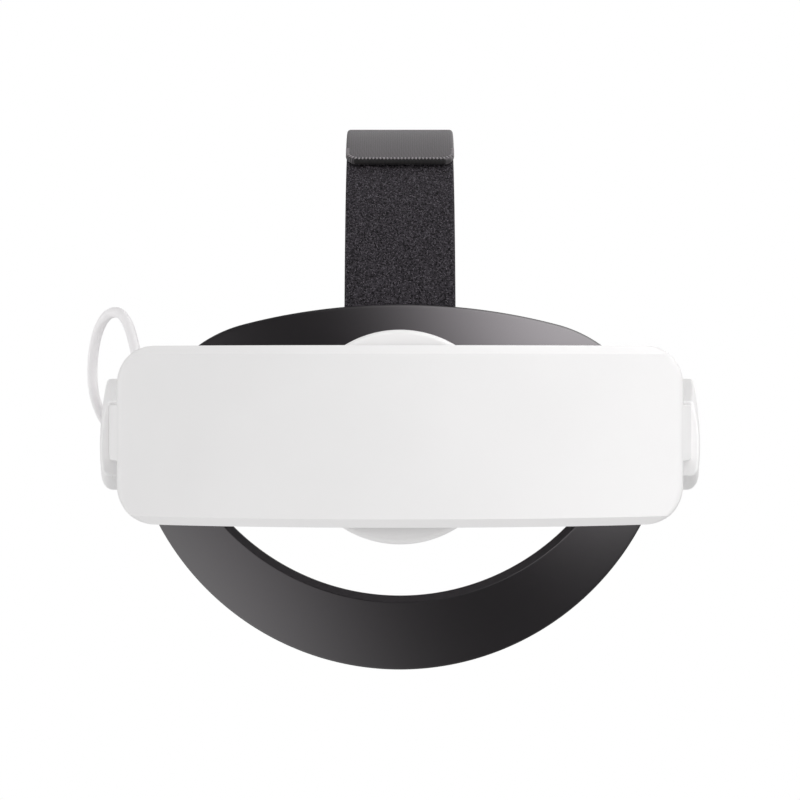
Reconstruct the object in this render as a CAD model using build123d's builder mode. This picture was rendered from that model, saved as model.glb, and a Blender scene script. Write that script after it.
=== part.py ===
# Head strap for a worn display: a rigid ring that cups the back of the head, two side arms that
# a wheel draws in and lets out through a rack and pinion, a battery pack behind the wheel, a
# hook-and-loop strap over the crown, and a power cable from the left arm.
# Millimetres. +X is the wearer's right, +Y is forward, +Z is up. The origin is on the wheel's
# axis, at the centre of the head seat, and the ring, racks, housing and pack all curve about Z.
from build123d import *
from math import acos, asin, atan2, cos, degrees, hypot, pi, radians, sin, sqrt, tan
import os

os.makedirs("parts", exist_ok=True)

# ---- driving sizes: head seat and ring ----
seat_radius = 88.0          # head pad's inner face, at the waist
barrel_shift = 7.5          # centre of the upright curve lies this far beyond the Z axis
pad_thickness = 1.5
pad_inset = 4.0             # pad's edge inside the ring's edge
cradle_wall = 3.0
ring_bottom = -69.9
ring_low_radius = 83.1      # big arc along the bottom of the ring
ring_corner_radius = 41.2
ring_corner_turn = 30.0     # where the bottom arc gives way to the side arc, below level
ring_crown = 4.45           # the top arc rises this far above the side arcs
window_bottom = -46.9
window_low_radius = 70.1
window_corner_radius = 24.0
window_corner_turn = 45.0
window_crown = 4.4
window_bevel = 2.0
ring_edge_round = 0.8

# ---- driving sizes: fit mechanism ----
gear_module = 1.0
pinion_teeth = 16
tooth_addendum = 0.7        # teeth are cut short and slim, for a free-running plastic mesh
tooth_dedendum = 1.0
tooth_slack = 0.45          # taken off each tooth's thickness at the pitch line
flank_angle = 20.0
front_plate = 2.2
rack_thickness = 2.0
rack_clearance = 0.35
rack_border = 3.5           # solid edge above and below a rack's slot
rack_reach = 44.3           # from the middle to a rack's outer end, in degrees
housing_sweep = 52.0        # from the middle to the housing's end, in degrees
rear_plate = 3.2
housing_half_height = 17.0
housing_corner = 6.0
boss_radius = 27.0
boss_rise = 0.5             # flat boss behind the housing's curved face, under the wheel
wheel_travel = 85.0         # each way, in degrees
wheel_radius = 30.2
wheel_depth = 9.6
wheel_wall = 2.8
wheel_web = 4.2
wheel_sleeve = 3.0          # wall of the wheel's sleeve round the pinion's shaft
wheel_gap = 0.8             # from the housing's boss to the wheel's rim
wheel_edge_round = 1.4
grip_ribs = 8
rib_width = 1.6
rib_setback = 2.0           # from the wheel's front rim
hub_radius = 6.0
axle_radius = 2.0
running_fit = 0.05
axle_head_radius = 4.2
axle_head_height = 1.8
washer_thickness = 0.5

# ---- driving sizes: battery pack ----
pack_gap = 12.0             # from the housing's rear face to the pack's front face
pack_depth = 18.0
pack_front_depth = 6.0      # front cover's share of the depth
pack_height = 50.4
pack_lift = 0.5
pack_half_width = 80.5
pack_corner = 11.0
pack_edge = 2.3             # chamfer along the long rear edges, up to the corners
pack_end_round = 6.5        # round of the short rear edges
corner_ease = 0.02          # the corner rounds run out this far past the end walls
pack_wall = 2.2
recess_clearance = 1.3      # round the wheel, inside the pack's front cover
foot_inset = 2.5            # from the pack's end to its foot on the housing
foot_width = 30.0
foot_bury = 0.5             # into the front cover, so that the two are one solid
cell_inset = 6.4            # from the pack's end wall to the cell
cell_width = 34.0
cell_thickness = 9.0
cell_height = 40.0
cell_corner = 2.0
cell_gap = 0.6
board_width = 36.0
board_height = 30.0
board_thickness = 1.2
board_corner = 2.0
board_edge = 4.0            # from the board's edge to its fixing pins
pin_radius = 1.8
pin_height = 1.0            # clear of the cover, under the board
chip_size = 8.0
chip_height = 1.1
coil_width = 7.0
coil_height = 5.0
port_cell_gap = 7.6         # from the right cell to the charge port
port_width = 9.0
port_height = 3.3
port_depth = 7.0
port_wall = 0.4
port_floor = 1.0
tongue_thickness = 0.7
tongue_side_gap = 0.8
tongue_setback = 1.2        # behind the port's mouth
light_spacing = 15.4        # from the port's middle to the light's
light_radius = 1.1
light_stem = 0.8            # past the cover's wall, inside

# ---- driving sizes: arms ----
arm_rear_y = -28.0
arm_front_y = 57.0
arm_bend_y = 33.0           # ahead of here the arm runs straight forward
arm_rear_x = 91.8           # outer face
arm_front_x = 97.5
arm_rear_thickness = 6.4
arm_front_thickness = 11.2
arm_rear_top = 9.5
arm_rear_bottom = -13.5
arm_front_top = 16.2
arm_front_bottom = -20.3
arm_bow = 1.3               # how much of the outward bend comes early
arm_lean = 1.9              # the outer face leans in this much at its top
arm_low_lean = 0.76         # and this much at its bottom
arm_belly = 0.62            # widest place, as a share of the height from the top
arm_top_round = 1.2
arm_bottom_round = 3.2
arm_round_share = 0.8       # at most this share of the outer shell's thickness
arm_outer_share = 0.55      # outer shell's share of the thickness
blade_thickness = 2.0
blade_height = 17.0
blade_grip = 18.0           # length of the blade held inside the arm
socket_width = 5.0          # mouth for a display's side tab, inside its rubber lining
socket_height = 20.0
socket_depth = 25.0
socket_lining = 0.8
socket_corner = 0.8
arm_screw_setback = 8.0     # from the blade's end to the first screw
arm_screw_spacing = 24.0

# ---- driving sizes: straps ----
strap_width = 32.3
flap_width = 32.6
strap_thickness = 2.2
strap_lean = 18.0           # off upright, where the strap lies in the ring
strap_seat_drop = 7.9       # from the ring's top down to the middle of the anchor
strap_tail = 7.0            # from the anchor's middle down to the strap's end
strap_rise = 8.0            # from the anchor's middle up to where the crown's curve starts
crown_radius = 75.0
front_radius = 173.0
front_drop = 24.0           # slope of the front run, in degrees
front_run = 10.0
loop_gap = 8.0              # inside the front fold
hook_thickness = 0.8
hook_inset = 1.5            # from the flap's side edges
soft_gap = 0.3
flap_end_turn = 31.4        # where the flap ends behind the crown, in degrees
flap_corner = 4.0
hook_length_turn = 24.0     # length of the hook patch, in degrees round the crown
anchor_width = 31.0
anchor_height = 11.0
anchor_thickness = 2.0

# ---- driving sizes: screws ----
screw_radius = 1.2
screw_head_radius = 2.3
screw_head_height = 1.3
screw_recess = 0.5          # from the surface down to the top of a screw's head
screw_bite = 7.0            # a pack screw's hold in the pack's foot
cradle_screw_turn = 45.0
housing_screw_turn = 19.0

# ---- driving sizes: cable ----
cable_diameter = 3.4
bend_share = 0.45           # of each run between two bends
gland_radius = 3.2
gland_length = 9.0
gland_boss_length = 14.0
gland_step = 0.45
gland_lip = 0.5             # of the gland and the plug, past the cable
boss_wall = 0.4
plug_length = 17.0
plug_width = 10.4
plug_thickness = 6.2
shell_length = 6.5
shell_width = 8.3
shell_thickness = 2.4
shell_wall = 0.3
cable_route = [
    (-84.2, 12.0, 24.0),
    (-84.5, 18.0, 31.0),
    (-87.0, 28.0, 36.6),
    (-91.4, 38.0, 39.0),
    (-96.8, 47.6, 37.4),
    (-101.0, 55.2, 30.4),
    (-103.0, 60.0, 20.0),
    (-102.4, 63.2, 8.8),
    (-97.6, 66.6, -1.2),
    (-89.2, 70.4, -6.8),
]

# ---- sizes that follow ----
liner_face = seat_radius + pad_thickness            # ring's inner face
ring_face = liner_face + cradle_wall                # ring's outer face, where the housing sits
front_plate_face = ring_face + front_plate
left_rack_face = front_plate_face + rack_clearance
right_rack_face = left_rack_face + rack_thickness + rack_clearance
cavity_face = right_rack_face + rack_thickness + rack_clearance
housing_face = cavity_face + rear_plate
parting_face = right_rack_face                      # front and rear housings meet between the racks
pitch_radius = gear_module * pinion_teeth / 2
tooth_pitch = pi * gear_module
slot_half_height = pitch_radius + tooth_dedendum
rack_half_height = slot_half_height + rack_border
rack_travel = pitch_radius * radians(wheel_travel)
boss_y = -(housing_face + boss_rise)
wheel_front_y = boss_y - wheel_gap
wheel_rear_y = wheel_front_y - wheel_depth
pack_face = housing_face + pack_gap
pack_parting = pack_face + pack_front_depth
pack_rear = pack_face + pack_depth
pack_sweep = degrees(asin(pack_half_width / pack_rear))
foot_end = pack_sweep - degrees(foot_inset / pack_face)
foot_start = foot_end - degrees(foot_width / pack_face)
pack_screw_turn = (foot_start + foot_end) / 2
cell_rear = pack_rear - pack_wall - cell_gap
cell_end = degrees(asin((pack_half_width - pack_wall - cell_inset) / cell_rear))
cell_start = cell_end - degrees(cell_width / cell_rear)
port_middle = (pack_parting + pack_rear - pack_wall) / 2
port_turn = cell_start - degrees((port_cell_gap + port_width / 2) / port_middle)
light_turn = port_turn + degrees(light_spacing / port_middle)
pack_low = pack_lift - pack_height / 2
pack_high = pack_lift + pack_height / 2
reach = pack_rear + 20                              # longer than anything behind the axis
long_span = 4 * reach


def radial_plane(turn):
    # Upright plane through Z. Turn 0 points straight back, and a positive turn goes to the right.
    across = (sin(radians(turn)), -cos(radians(turn)), 0)
    normal = (-cos(radians(turn)), -sin(radians(turn)), 0)
    return Plane(origin=(0, 0, 0), x_dir=across, z_dir=normal)


def facing_plane(turn, radius, height=0):
    # Plane square to the radius, looking outward, with its local y upright
    outward = (sin(radians(turn)), -cos(radians(turn)), 0)
    across = (cos(radians(turn)), sin(radians(turn)), 0)
    centre = (radius * outward[0], radius * outward[1], height)
    return Plane(origin=centre, x_dir=across, z_dir=outward)


def barrel_radius(waist, z):
    curve = waist + barrel_shift
    return sqrt(curve * curve - z * z) - barrel_shift


def barrel_wall(inner, outer):
    # Upright wall between two barrel faces, all the way round
    with BuildPart() as wall:
        with BuildSketch(Plane.XZ):
            with Locations((-barrel_shift, 0)):
                Circle(outer + barrel_shift)
                if inner > 0:
                    Circle(inner + barrel_shift, mode=Mode.SUBTRACT)
            with Locations((long_span / 2, 0)):
                Rectangle(long_span, 1.7 * outer, mode=Mode.INTERSECT)
        revolve(axis=Axis.Z)
    return wall.part


def egg_top(bottom, low_radius, corner_radius, corner_turn, crown):
    drop = (low_radius - corner_radius) * sin(radians(corner_turn))
    return bottom + low_radius - drop + corner_radius + crown


def egg_outline(bottom, low_radius, corner_radius, corner_turn, crown, grow=0.0):
    # Closed outline of three arc sizes, each tangent to the next
    low_centre = bottom + low_radius
    spread = low_radius - corner_radius
    corner_x = spread * cos(radians(corner_turn))
    corner_z = low_centre - spread * sin(radians(corner_turn))
    top = egg_top(bottom, low_radius, corner_radius, corner_turn, crown)
    rise = top - corner_z
    top_radius = (corner_x**2 + rise**2 - corner_radius**2) / (2 * (rise - corner_radius))
    lean = degrees(atan2(corner_x, top_radius - rise))
    side = 90 - lean + corner_turn
    CenterArc((0, low_centre), low_radius + grow, 180 + corner_turn, 180 - 2 * corner_turn)
    CenterArc((corner_x, corner_z), corner_radius + grow, -corner_turn, side)
    CenterArc((0, top - top_radius), top_radius + grow, 90 - lean, 2 * lean)
    CenterArc((-corner_x, corner_z), corner_radius + grow, 90 + lean, side)


def ring_outline(grow=0.0):
    egg_outline(ring_bottom, ring_low_radius, ring_corner_radius, ring_corner_turn, ring_crown, grow)


def window_outline(grow=0.0):
    egg_outline(window_bottom, window_low_radius, window_corner_radius, window_corner_turn,
                window_crown, grow)


def curved_bar(inner, outer, low, high, start, end):
    # Block bent about Z, between two radii, two heights and two turns
    with BuildPart() as bar:
        with BuildSketch(radial_plane(start)):
            with Locations(((inner + outer) / 2, (low + high) / 2)):
                Rectangle(outer - inner, high - low)
        revolve(axis=Axis.Z, revolution_arc=end - start)
    return bar.part


def level_lines(builder):
    # Straight edges that run level, which on a curved bar are the corners of its ends
    return builder.edges().filter_by(GeomType.LINE).filter_by(
        lambda edge: abs((edge @ 0).Z - (edge @ 1).Z) < 0.01)


def radial_screws(places, waist, tip, head_room=0.0):
    # Pan-head screws along the radius, let into the barrel face of the given waist.
    # Each place is a turn and a height. Head room lengthens the heads into cutters.
    with BuildPart() as screws:
        for turn, height in places:
            head_seat = barrel_radius(waist, height) + screw_head_height + screw_recess
            with BuildSketch(facing_plane(turn, head_seat, height)):
                Circle(screw_radius)
            extrude(amount=tip - head_seat)
            with BuildSketch(facing_plane(turn, head_seat, height)):
                Circle(screw_head_radius)
            extrude(amount=-screw_head_height - head_room)
    return screws.part


def finish(piece, name):
    piece.part.label = name
    export_step(piece.part, f"parts/{name}.step")
    print(f"{name:24s} {len(piece.part.solids())} solid(s) {piece.part.volume:10.1f} mm3")


def left_of(right_piece):
    with BuildPart() as left_piece:
        mirror(right_piece.part, about=Plane.YZ)
    return left_piece


screw_level = (rack_half_height + rack_clearance + housing_half_height) / 2


# ---- strap path, in the YZ plane ----
ring_top = egg_top(ring_bottom, ring_low_radius, ring_corner_radius, ring_corner_turn, ring_crown)
strap_seat_z = ring_top - strap_seat_drop
seat_y = -barrel_radius(liner_face, strap_seat_z) - soft_gap + strap_thickness / 2
lean_y = sin(radians(strap_lean))
lean_z = cos(radians(strap_lean))
tail_point = (seat_y - strap_tail * lean_y, strap_seat_z - strap_tail * lean_z)
rise_point = (seat_y + strap_rise * lean_y, strap_seat_z + strap_rise * lean_z)
crown_centre = (rise_point[0] + crown_radius * lean_z, rise_point[1] - crown_radius * lean_y)
front_centre = (crown_centre[0], crown_centre[1] + crown_radius - front_radius)
drop_y = sin(radians(front_drop))
drop_z = cos(radians(front_drop))
fold_radius = (loop_gap + strap_thickness) / 2
fold_start = (front_centre[0] + front_radius * drop_y + front_run * drop_z,
              front_centre[1] + front_radius * drop_z - front_run * drop_y)
fold_centre = (fold_start[0] + fold_radius * drop_y, fold_start[1] + fold_radius * drop_z)
flap_lift = strap_thickness + hook_thickness + soft_gap      # centre line to centre line
flap_front_radius = front_radius + flap_lift
flap_crown_radius = crown_radius + flap_lift
fold_offset = (fold_centre[0] - front_centre[0], fold_centre[1] - front_centre[1])
fold_distance = hypot(*fold_offset)
leave_turn = degrees(atan2(*fold_offset)) - degrees(acos((flap_front_radius - fold_radius)
                                                         / fold_distance))
leave = (sin(radians(leave_turn)), cos(radians(leave_turn)))
flap_root = (fold_centre[0] + fold_radius * leave[0], fold_centre[1] + fold_radius * leave[1])
flap_leave = (front_centre[0] + flap_front_radius * leave[0],
              front_centre[1] + flap_front_radius * leave[1])
hinge_point = (flap_root[0] + strap_thickness / 2 * leave[0],
               flap_root[1] + strap_thickness / 2 * leave[1])


def screw_places(turn):
    return [(side * turn, level * screw_level) for side in (-1, 1) for level in (-1, 1)]


def tooth_half_width(height):
    # Half of a tooth's width, at a height above the pitch line
    return (tooth_pitch / 2 - tooth_slack) / 2 - height * tan(radians(flank_angle))


def end_cylinder(radius):
    # Tall round bar on the Z axis, for parting curved shells
    with BuildPart() as bar:
        Cylinder(radius, long_span)
    return bar.part


# ---- ring ----
anchor_plane = Plane(origin=(0, seat_y, strap_seat_z), x_dir=(1, 0, 0), z_dir=(0, lean_z, -lean_y))
pocket_floor = anchor_plane.offset(-strap_thickness / 2)
strap_front = anchor_plane.offset(strap_thickness / 2)
cradle_screw_tip = front_plate_face + rack_clearance + rack_thickness

with BuildPart() as cradle_screws:
    add(radial_screws(screw_places(cradle_screw_turn), liner_face, cradle_screw_tip))

with BuildPart() as anchor_screws:
    for side in (-1, 1):
        with BuildSketch(strap_front.offset(anchor_thickness)):
            with Locations((side * anchor_width / 4, 0)):
                Circle(screw_radius)
        extrude(amount=-anchor_thickness - strap_thickness - cradle_wall / 2)
        with BuildSketch(strap_front.offset(anchor_thickness)):
            with Locations((side * anchor_width / 4, 0)):
                Circle(screw_head_radius)
        extrude(amount=screw_head_height)


def on_ring_face(edge):
    middle = edge @ 0.5
    return abs(hypot(middle.X, middle.Y) - barrel_radius(ring_face, middle.Z)) < 0.01


with BuildPart() as cradle:
    add(barrel_wall(liner_face, ring_face))
    with BuildSketch(Plane.XZ):
        with BuildLine():
            ring_outline()
        make_face()
    extrude(amount=reach, mode=Mode.INTERSECT)
    fillet(cradle.edges().filter_by(on_ring_face), ring_edge_round)
    with BuildSketch(Plane.XZ):
        with BuildLine():
            window_outline()
        make_face()
    extrude(amount=reach, mode=Mode.SUBTRACT)
    chamfer(cradle.edges(Select.LAST).filter_by(on_ring_face), window_bevel)
    with BuildSketch(pocket_floor):
        with Locations((0, -strap_rise - cradle_wall)):
            Rectangle(strap_width + 2 * soft_gap, 2 * (strap_tail + strap_rise + cradle_wall))
    extrude(amount=cradle_wall + strap_thickness, mode=Mode.SUBTRACT)
    add(radial_screws(screw_places(cradle_screw_turn), liner_face, cradle_screw_tip, cradle_wall),
        mode=Mode.SUBTRACT)
    add(anchor_screws.part, mode=Mode.SUBTRACT)

finish(cradle, "cradle")
finish(cradle_screws, "cradle_screws")
finish(anchor_screws, "anchor_screws")

with BuildPart() as head_pad:
    add(barrel_wall(seat_radius, liner_face))
    with BuildSketch(Plane.XZ):
        with BuildLine():
            ring_outline(-pad_inset)
        make_face()
        with BuildLine():
            window_outline(pad_inset)
        make_face(mode=Mode.SUBTRACT)
        with Locations((0, ring_top)):
            Rectangle(strap_width + 2, 2 * (ring_top - strap_seat_z + strap_tail + 1),
                      mode=Mode.SUBTRACT)
    extrude(amount=reach, mode=Mode.INTERSECT)

with BuildPart() as strap_anchor:
    with BuildSketch(strap_front):
        RectangleRounded(anchor_width, anchor_height, anchor_height / 4)
    extrude(amount=anchor_thickness)
    add(anchor_screws.part, mode=Mode.SUBTRACT)

finish(head_pad, "head_pad")
finish(strap_anchor, "strap_anchor")

# ---- housing of the fit mechanism ----
cavity_half_height = rack_half_height + rack_clearance

with BuildPart() as housing_block:
    add(curved_bar(ring_face - cradle_wall, housing_face, -housing_half_height,
                   housing_half_height, -housing_sweep, housing_sweep))
    fillet(level_lines(housing_block), housing_corner)
    with BuildSketch(Plane.XZ):
        Circle(boss_radius)
    extrude(amount=-boss_y)
    add(barrel_wall(0, ring_face), mode=Mode.SUBTRACT)
    add(curved_bar(front_plate_face, cavity_face, -cavity_half_height, cavity_half_height,
                   -housing_sweep - 5, housing_sweep + 5), mode=Mode.SUBTRACT)

housing_screw_tip = housing_face - 1
pack_screw_tip = housing_face + screw_bite

with BuildPart() as housing_screws:
    add(radial_screws(screw_places(housing_screw_turn), ring_face, housing_screw_tip))

with BuildPart() as pack_screws:
    add(radial_screws(screw_places(pack_screw_turn), ring_face, pack_screw_tip))

with BuildPart() as screw_ways:
    add(radial_screws(screw_places(housing_screw_turn), ring_face, housing_screw_tip, cradle_wall))
    add(radial_screws(screw_places(pack_screw_turn), ring_face, pack_screw_tip, cradle_wall))
    add(cradle_screws.part)

with BuildPart() as housing_front:
    add(housing_block.part)
    add(end_cylinder(parting_face), mode=Mode.INTERSECT)
    with BuildSketch(Plane.XZ):
        Circle(axle_radius)
    extrude(amount=reach, mode=Mode.SUBTRACT)
    add(screw_ways.part, mode=Mode.SUBTRACT)

with BuildPart() as housing_rear:
    add(housing_block.part)
    add(end_cylinder(parting_face), mode=Mode.SUBTRACT)
    with BuildSketch(Plane.XZ):
        Circle(hub_radius + rack_clearance)
    extrude(amount=reach, mode=Mode.SUBTRACT)
    add(screw_ways.part, mode=Mode.SUBTRACT)

finish(housing_front, "housing_front")
finish(housing_rear, "housing_rear")
finish(housing_screws, "housing_screws")
finish(pack_screws, "pack_screws")

# ---- racks ----
slot_half_length = rack_travel + pitch_radius + tooth_addendum + rack_clearance
rack_half_length = slot_half_length + rack_border


def rack(inner, side):
    # Slotted band with teeth on the slot's upper edge for the left, lower edge for the right
    outer = inner + rack_thickness
    middle = inner + rack_thickness / 2
    slot_turn = degrees(slot_half_length / middle)
    near_turn = degrees(rack_half_length / middle)
    teeth = int(slot_half_length / tooth_pitch - 0.3)
    with BuildPart() as band:
        if side > 0:
            add(curved_bar(inner, outer, -rack_half_height, rack_half_height, -near_turn, rack_reach))
        else:
            add(curved_bar(inner, outer, -rack_half_height, rack_half_height, -rack_reach, near_turn))
        add(curved_bar(inner - 1, outer + 1, -slot_half_height, slot_half_height,
                       -slot_turn, slot_turn), mode=Mode.SUBTRACT)
        for count in range(-teeth, teeth):
            turn = degrees((count + 0.5) * tooth_pitch / middle)
            root = tooth_half_width(-tooth_dedendum)
            tip = tooth_half_width(tooth_addendum)
            with BuildSketch(facing_plane(turn, inner)):
                Polygon((-root, -side * (slot_half_height + 0.2)), (-root, -side * slot_half_height),
                        (-tip, -side * (pitch_radius - tooth_addendum)),
                        (tip, -side * (pitch_radius - tooth_addendum)),
                        (root, -side * slot_half_height), (root, -side * (slot_half_height + 0.2)),
                        align=None)
            extrude(amount=rack_thickness)
    return band


left_rack = rack(left_rack_face, -1)
right_rack = rack(right_rack_face, 1)
finish(left_rack, "left_rack")
finish(right_rack, "right_rack")

# ---- wheel, pinion and axle ----
web_front_y = wheel_rear_y + wheel_web
sleeve_radius = hub_radius + wheel_sleeve
pinion_front_y = -(front_plate_face + rack_clearance / 2)
pinion_rear_y = -(cavity_face - 2 * rack_clearance)
axle_head_seat = wheel_rear_y + axle_head_height
recess_floor_y = wheel_rear_y - wheel_gap


def turned_ring(inner, outer, front_y, rear_y):
    # Plain ring or disc on the wheel's axis
    with BuildPart() as ring:
        with BuildSketch(Plane.XZ.offset(-front_y)):
            Circle(outer)
            if inner > 0:
                Circle(inner, mode=Mode.SUBTRACT)
        extrude(amount=front_y - rear_y)
    return ring.part


with BuildPart() as fit_wheel:
    add(turned_ring(0, wheel_radius, wheel_front_y, wheel_rear_y))
    rim_edges = fit_wheel.edges().filter_by(GeomType.CIRCLE)
    fillet(rim_edges, wheel_edge_round)
    add(turned_ring(sleeve_radius, wheel_radius - wheel_wall, wheel_front_y, web_front_y),
        mode=Mode.SUBTRACT)
    with BuildSketch(Plane.XZ.offset(-wheel_front_y + rib_setback)):
        with PolarLocations((sleeve_radius + wheel_radius - wheel_wall) / 2, grip_ribs):
            Rectangle(wheel_radius - wheel_wall - sleeve_radius + 1, rib_width)
    extrude(amount=wheel_front_y - rib_setback - web_front_y)
    add(turned_ring(0, hub_radius, wheel_front_y, web_front_y), mode=Mode.SUBTRACT)
    add(turned_ring(0, axle_radius + running_fit, web_front_y, wheel_rear_y), mode=Mode.SUBTRACT)
    add(turned_ring(0, axle_head_radius + rack_clearance, axle_head_seat + rack_clearance,
                    wheel_rear_y), mode=Mode.SUBTRACT)

with BuildPart() as drive_pinion:
    add(turned_ring(0, pitch_radius - tooth_dedendum, pinion_front_y, pinion_rear_y))
    with BuildSketch(Plane.XZ.offset(-pinion_front_y)):
        for count in range(pinion_teeth):
            root = tooth_half_width(-tooth_dedendum)
            tip = tooth_half_width(tooth_addendum)
            with Locations(Rot(0, 0, 90 + count * 360 / pinion_teeth)):
                Polygon((pitch_radius - tooth_dedendum - 0.5, -root),
                        (pitch_radius + tooth_addendum, -tip),
                        (pitch_radius + tooth_addendum, tip),
                        (pitch_radius - tooth_dedendum - 0.5, root), align=None)
    extrude(amount=pinion_front_y - pinion_rear_y)
    add(turned_ring(0, hub_radius, pinion_rear_y, web_front_y))
    add(turned_ring(0, axle_radius + running_fit, pinion_front_y, web_front_y), mode=Mode.SUBTRACT)

with BuildPart() as wheel_axle:
    add(turned_ring(0, axle_radius, -ring_face - soft_gap, axle_head_seat))
    add(turned_ring(0, axle_head_radius, axle_head_seat, wheel_rear_y))

with BuildPart() as friction_washer:
    add(turned_ring(hub_radius + rack_clearance, sleeve_radius, boss_y, boss_y - washer_thickness))

finish(fit_wheel, "fit_wheel")
finish(drive_pinion, "drive_pinion")
finish(wheel_axle, "wheel_axle")
finish(friction_washer, "friction_washer")

# ---- battery pack ----
def pack_form(inner, outer, low, high, half_width, corner, end_round):
    # Curved slab with square-on ends, rounded corners and rounded short rear edges
    with BuildPart() as form:
        with BuildSketch(Plane.XY.offset(low)) as plan:
            Circle(outer)
            Circle(inner, mode=Mode.SUBTRACT)
            with Locations((0, -reach / 2)):
                Rectangle(2 * half_width, reach, mode=Mode.INTERSECT)
            ends = plan.vertices().filter_by(lambda spot: abs(abs(spot.X) - half_width) < 0.01)
            fillet(ends.sort_by(Axis.Y)[:2], end_round)
        extrude(amount=high - low)
        with BuildSketch(Plane.XZ):
            with Locations((0, (low + high) / 2)):
                RectangleRounded(2 * (half_width + corner_ease), high - low, corner)
        extrude(amount=reach, mode=Mode.INTERSECT)
    return form.part


def pack_block():
    with BuildPart() as block:
        add(curved_bar(pack_face, pack_rear, pack_low, pack_high, -housing_sweep, housing_sweep))
        rear_face = block.faces().filter_by(GeomType.CYLINDER).sort_by(Axis.Y)[0]
        chamfer(rear_face.edges().filter_by(GeomType.CIRCLE), pack_edge)
        add(pack_form(pack_face, pack_rear, pack_low, pack_high, pack_half_width, pack_corner,
                      pack_end_round), mode=Mode.INTERSECT)
    return block.part


def pack_cavity():
    return pack_form(pack_face + pack_wall, pack_rear - pack_wall, pack_low + pack_wall,
                     pack_high - pack_wall, pack_half_width - pack_wall,
                     pack_corner - pack_wall, pack_end_round - pack_wall)



with BuildPart() as recess_keep:
    add(turned_ring(0, wheel_radius + recess_clearance + pack_wall, 0, recess_floor_y - pack_wall))

port_plane = facing_plane(port_turn, port_middle, pack_low)
port_mouth = Plane(origin=port_plane.origin, x_dir=port_plane.x_dir, z_dir=(0, 0, 1))
light_plane = facing_plane(light_turn, port_middle, pack_low)
light_mouth = Plane(origin=light_plane.origin, x_dir=light_plane.x_dir, z_dir=(0, 0, 1))

with BuildPart() as charge_port:
    with BuildSketch(port_mouth):
        SlotOverall(port_width, port_height)
    extrude(amount=port_depth)
    with BuildSketch(port_mouth):
        SlotOverall(port_width - 2 * port_wall, port_height - 2 * port_wall)
    extrude(amount=port_depth - port_floor, mode=Mode.SUBTRACT)
    with BuildSketch(port_mouth.offset(tongue_setback)):
        Rectangle(port_width - 2 * port_wall - 2 * tongue_side_gap, tongue_thickness)
    extrude(amount=port_depth - tongue_setback)

with BuildPart() as status_light:
    with BuildSketch(light_mouth):
        Circle(light_radius)
    extrude(amount=pack_wall + light_stem)

with BuildPart() as pack_front_cover:
    add(pack_block())
    add(end_cylinder(pack_parting), mode=Mode.INTERSECT)
    add(pack_cavity() - recess_keep.part, mode=Mode.SUBTRACT)
    add(turned_ring(0, wheel_radius + recess_clearance, 0, recess_floor_y), mode=Mode.SUBTRACT)
    for start, end in ((-foot_end, -foot_start), (foot_start, foot_end)):
        add(curved_bar(housing_face, pack_face + foot_bury, -housing_half_height,
                       housing_half_height, start, end))
    add(screw_ways.part, mode=Mode.SUBTRACT)
    with BuildSketch(Plane.XZ.offset(-recess_floor_y + pack_wall)):
        with GridLocations(board_width - 2 * board_edge, board_height - 2 * board_edge, 2, 2):
            Circle(pin_radius)
    extrude(amount=pin_height)

with BuildPart() as pack_rear_cover:
    add(pack_block())
    add(end_cylinder(pack_parting), mode=Mode.SUBTRACT)
    add(pack_cavity(), mode=Mode.SUBTRACT)
    with BuildSketch(port_mouth):
        SlotOverall(port_width, port_height)
    extrude(amount=port_depth, mode=Mode.SUBTRACT)
    add(status_light.part, mode=Mode.SUBTRACT)

board_y = recess_floor_y - pack_wall - pin_height

with BuildPart() as charge_board:
    with BuildSketch(Plane.XZ.offset(-board_y)):
        RectangleRounded(board_width, board_height, board_corner)
    extrude(amount=board_thickness)
    with BuildSketch(Plane.XZ.offset(-board_y + board_thickness)):
        with Locations((-chip_size, chip_size / 2), (chip_size, -chip_size / 2)):
            Rectangle(chip_size, chip_size)
        with Locations((chip_size, chip_size)):
            Rectangle(coil_width, coil_height)
    extrude(amount=chip_height)

finish(pack_rear_cover, "pack_rear_cover")
finish(pack_front_cover, "pack_front_cover")
finish(charge_port, "charge_port")
finish(status_light, "status_light")
finish(charge_board, "charge_board")

for name, start, end in (("battery_cell_left", -cell_end, -cell_start),
                         ("battery_cell_right", cell_start, cell_end)):
    with BuildPart() as cell:
        add(curved_bar(cell_rear - cell_thickness, cell_rear, pack_lift - cell_height / 2,
                       pack_lift + cell_height / 2, start, end))
        fillet(level_lines(cell), cell_corner)
    finish(cell, name)

# ---- arms ----
def arm_share(y):
    return min(1.0, (y - arm_rear_y) / (arm_bend_y - arm_rear_y))


def arm_outer_x(y):
    share = arm_share(y)
    return arm_rear_x + (arm_front_x - arm_rear_x) * (1 - (1 - share) ** arm_bow)


def arm_thickness(y):
    return arm_rear_thickness + (arm_front_thickness - arm_rear_thickness) * arm_share(y)


def arm_top(y):
    return arm_rear_top + (arm_front_top - arm_rear_top) * arm_share(y)


def arm_bottom(y):
    return arm_rear_bottom + (arm_front_bottom - arm_rear_bottom) * arm_share(y)


def arm_parting_x(y):
    return arm_outer_x(y) - arm_outer_share * arm_thickness(y)


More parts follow.
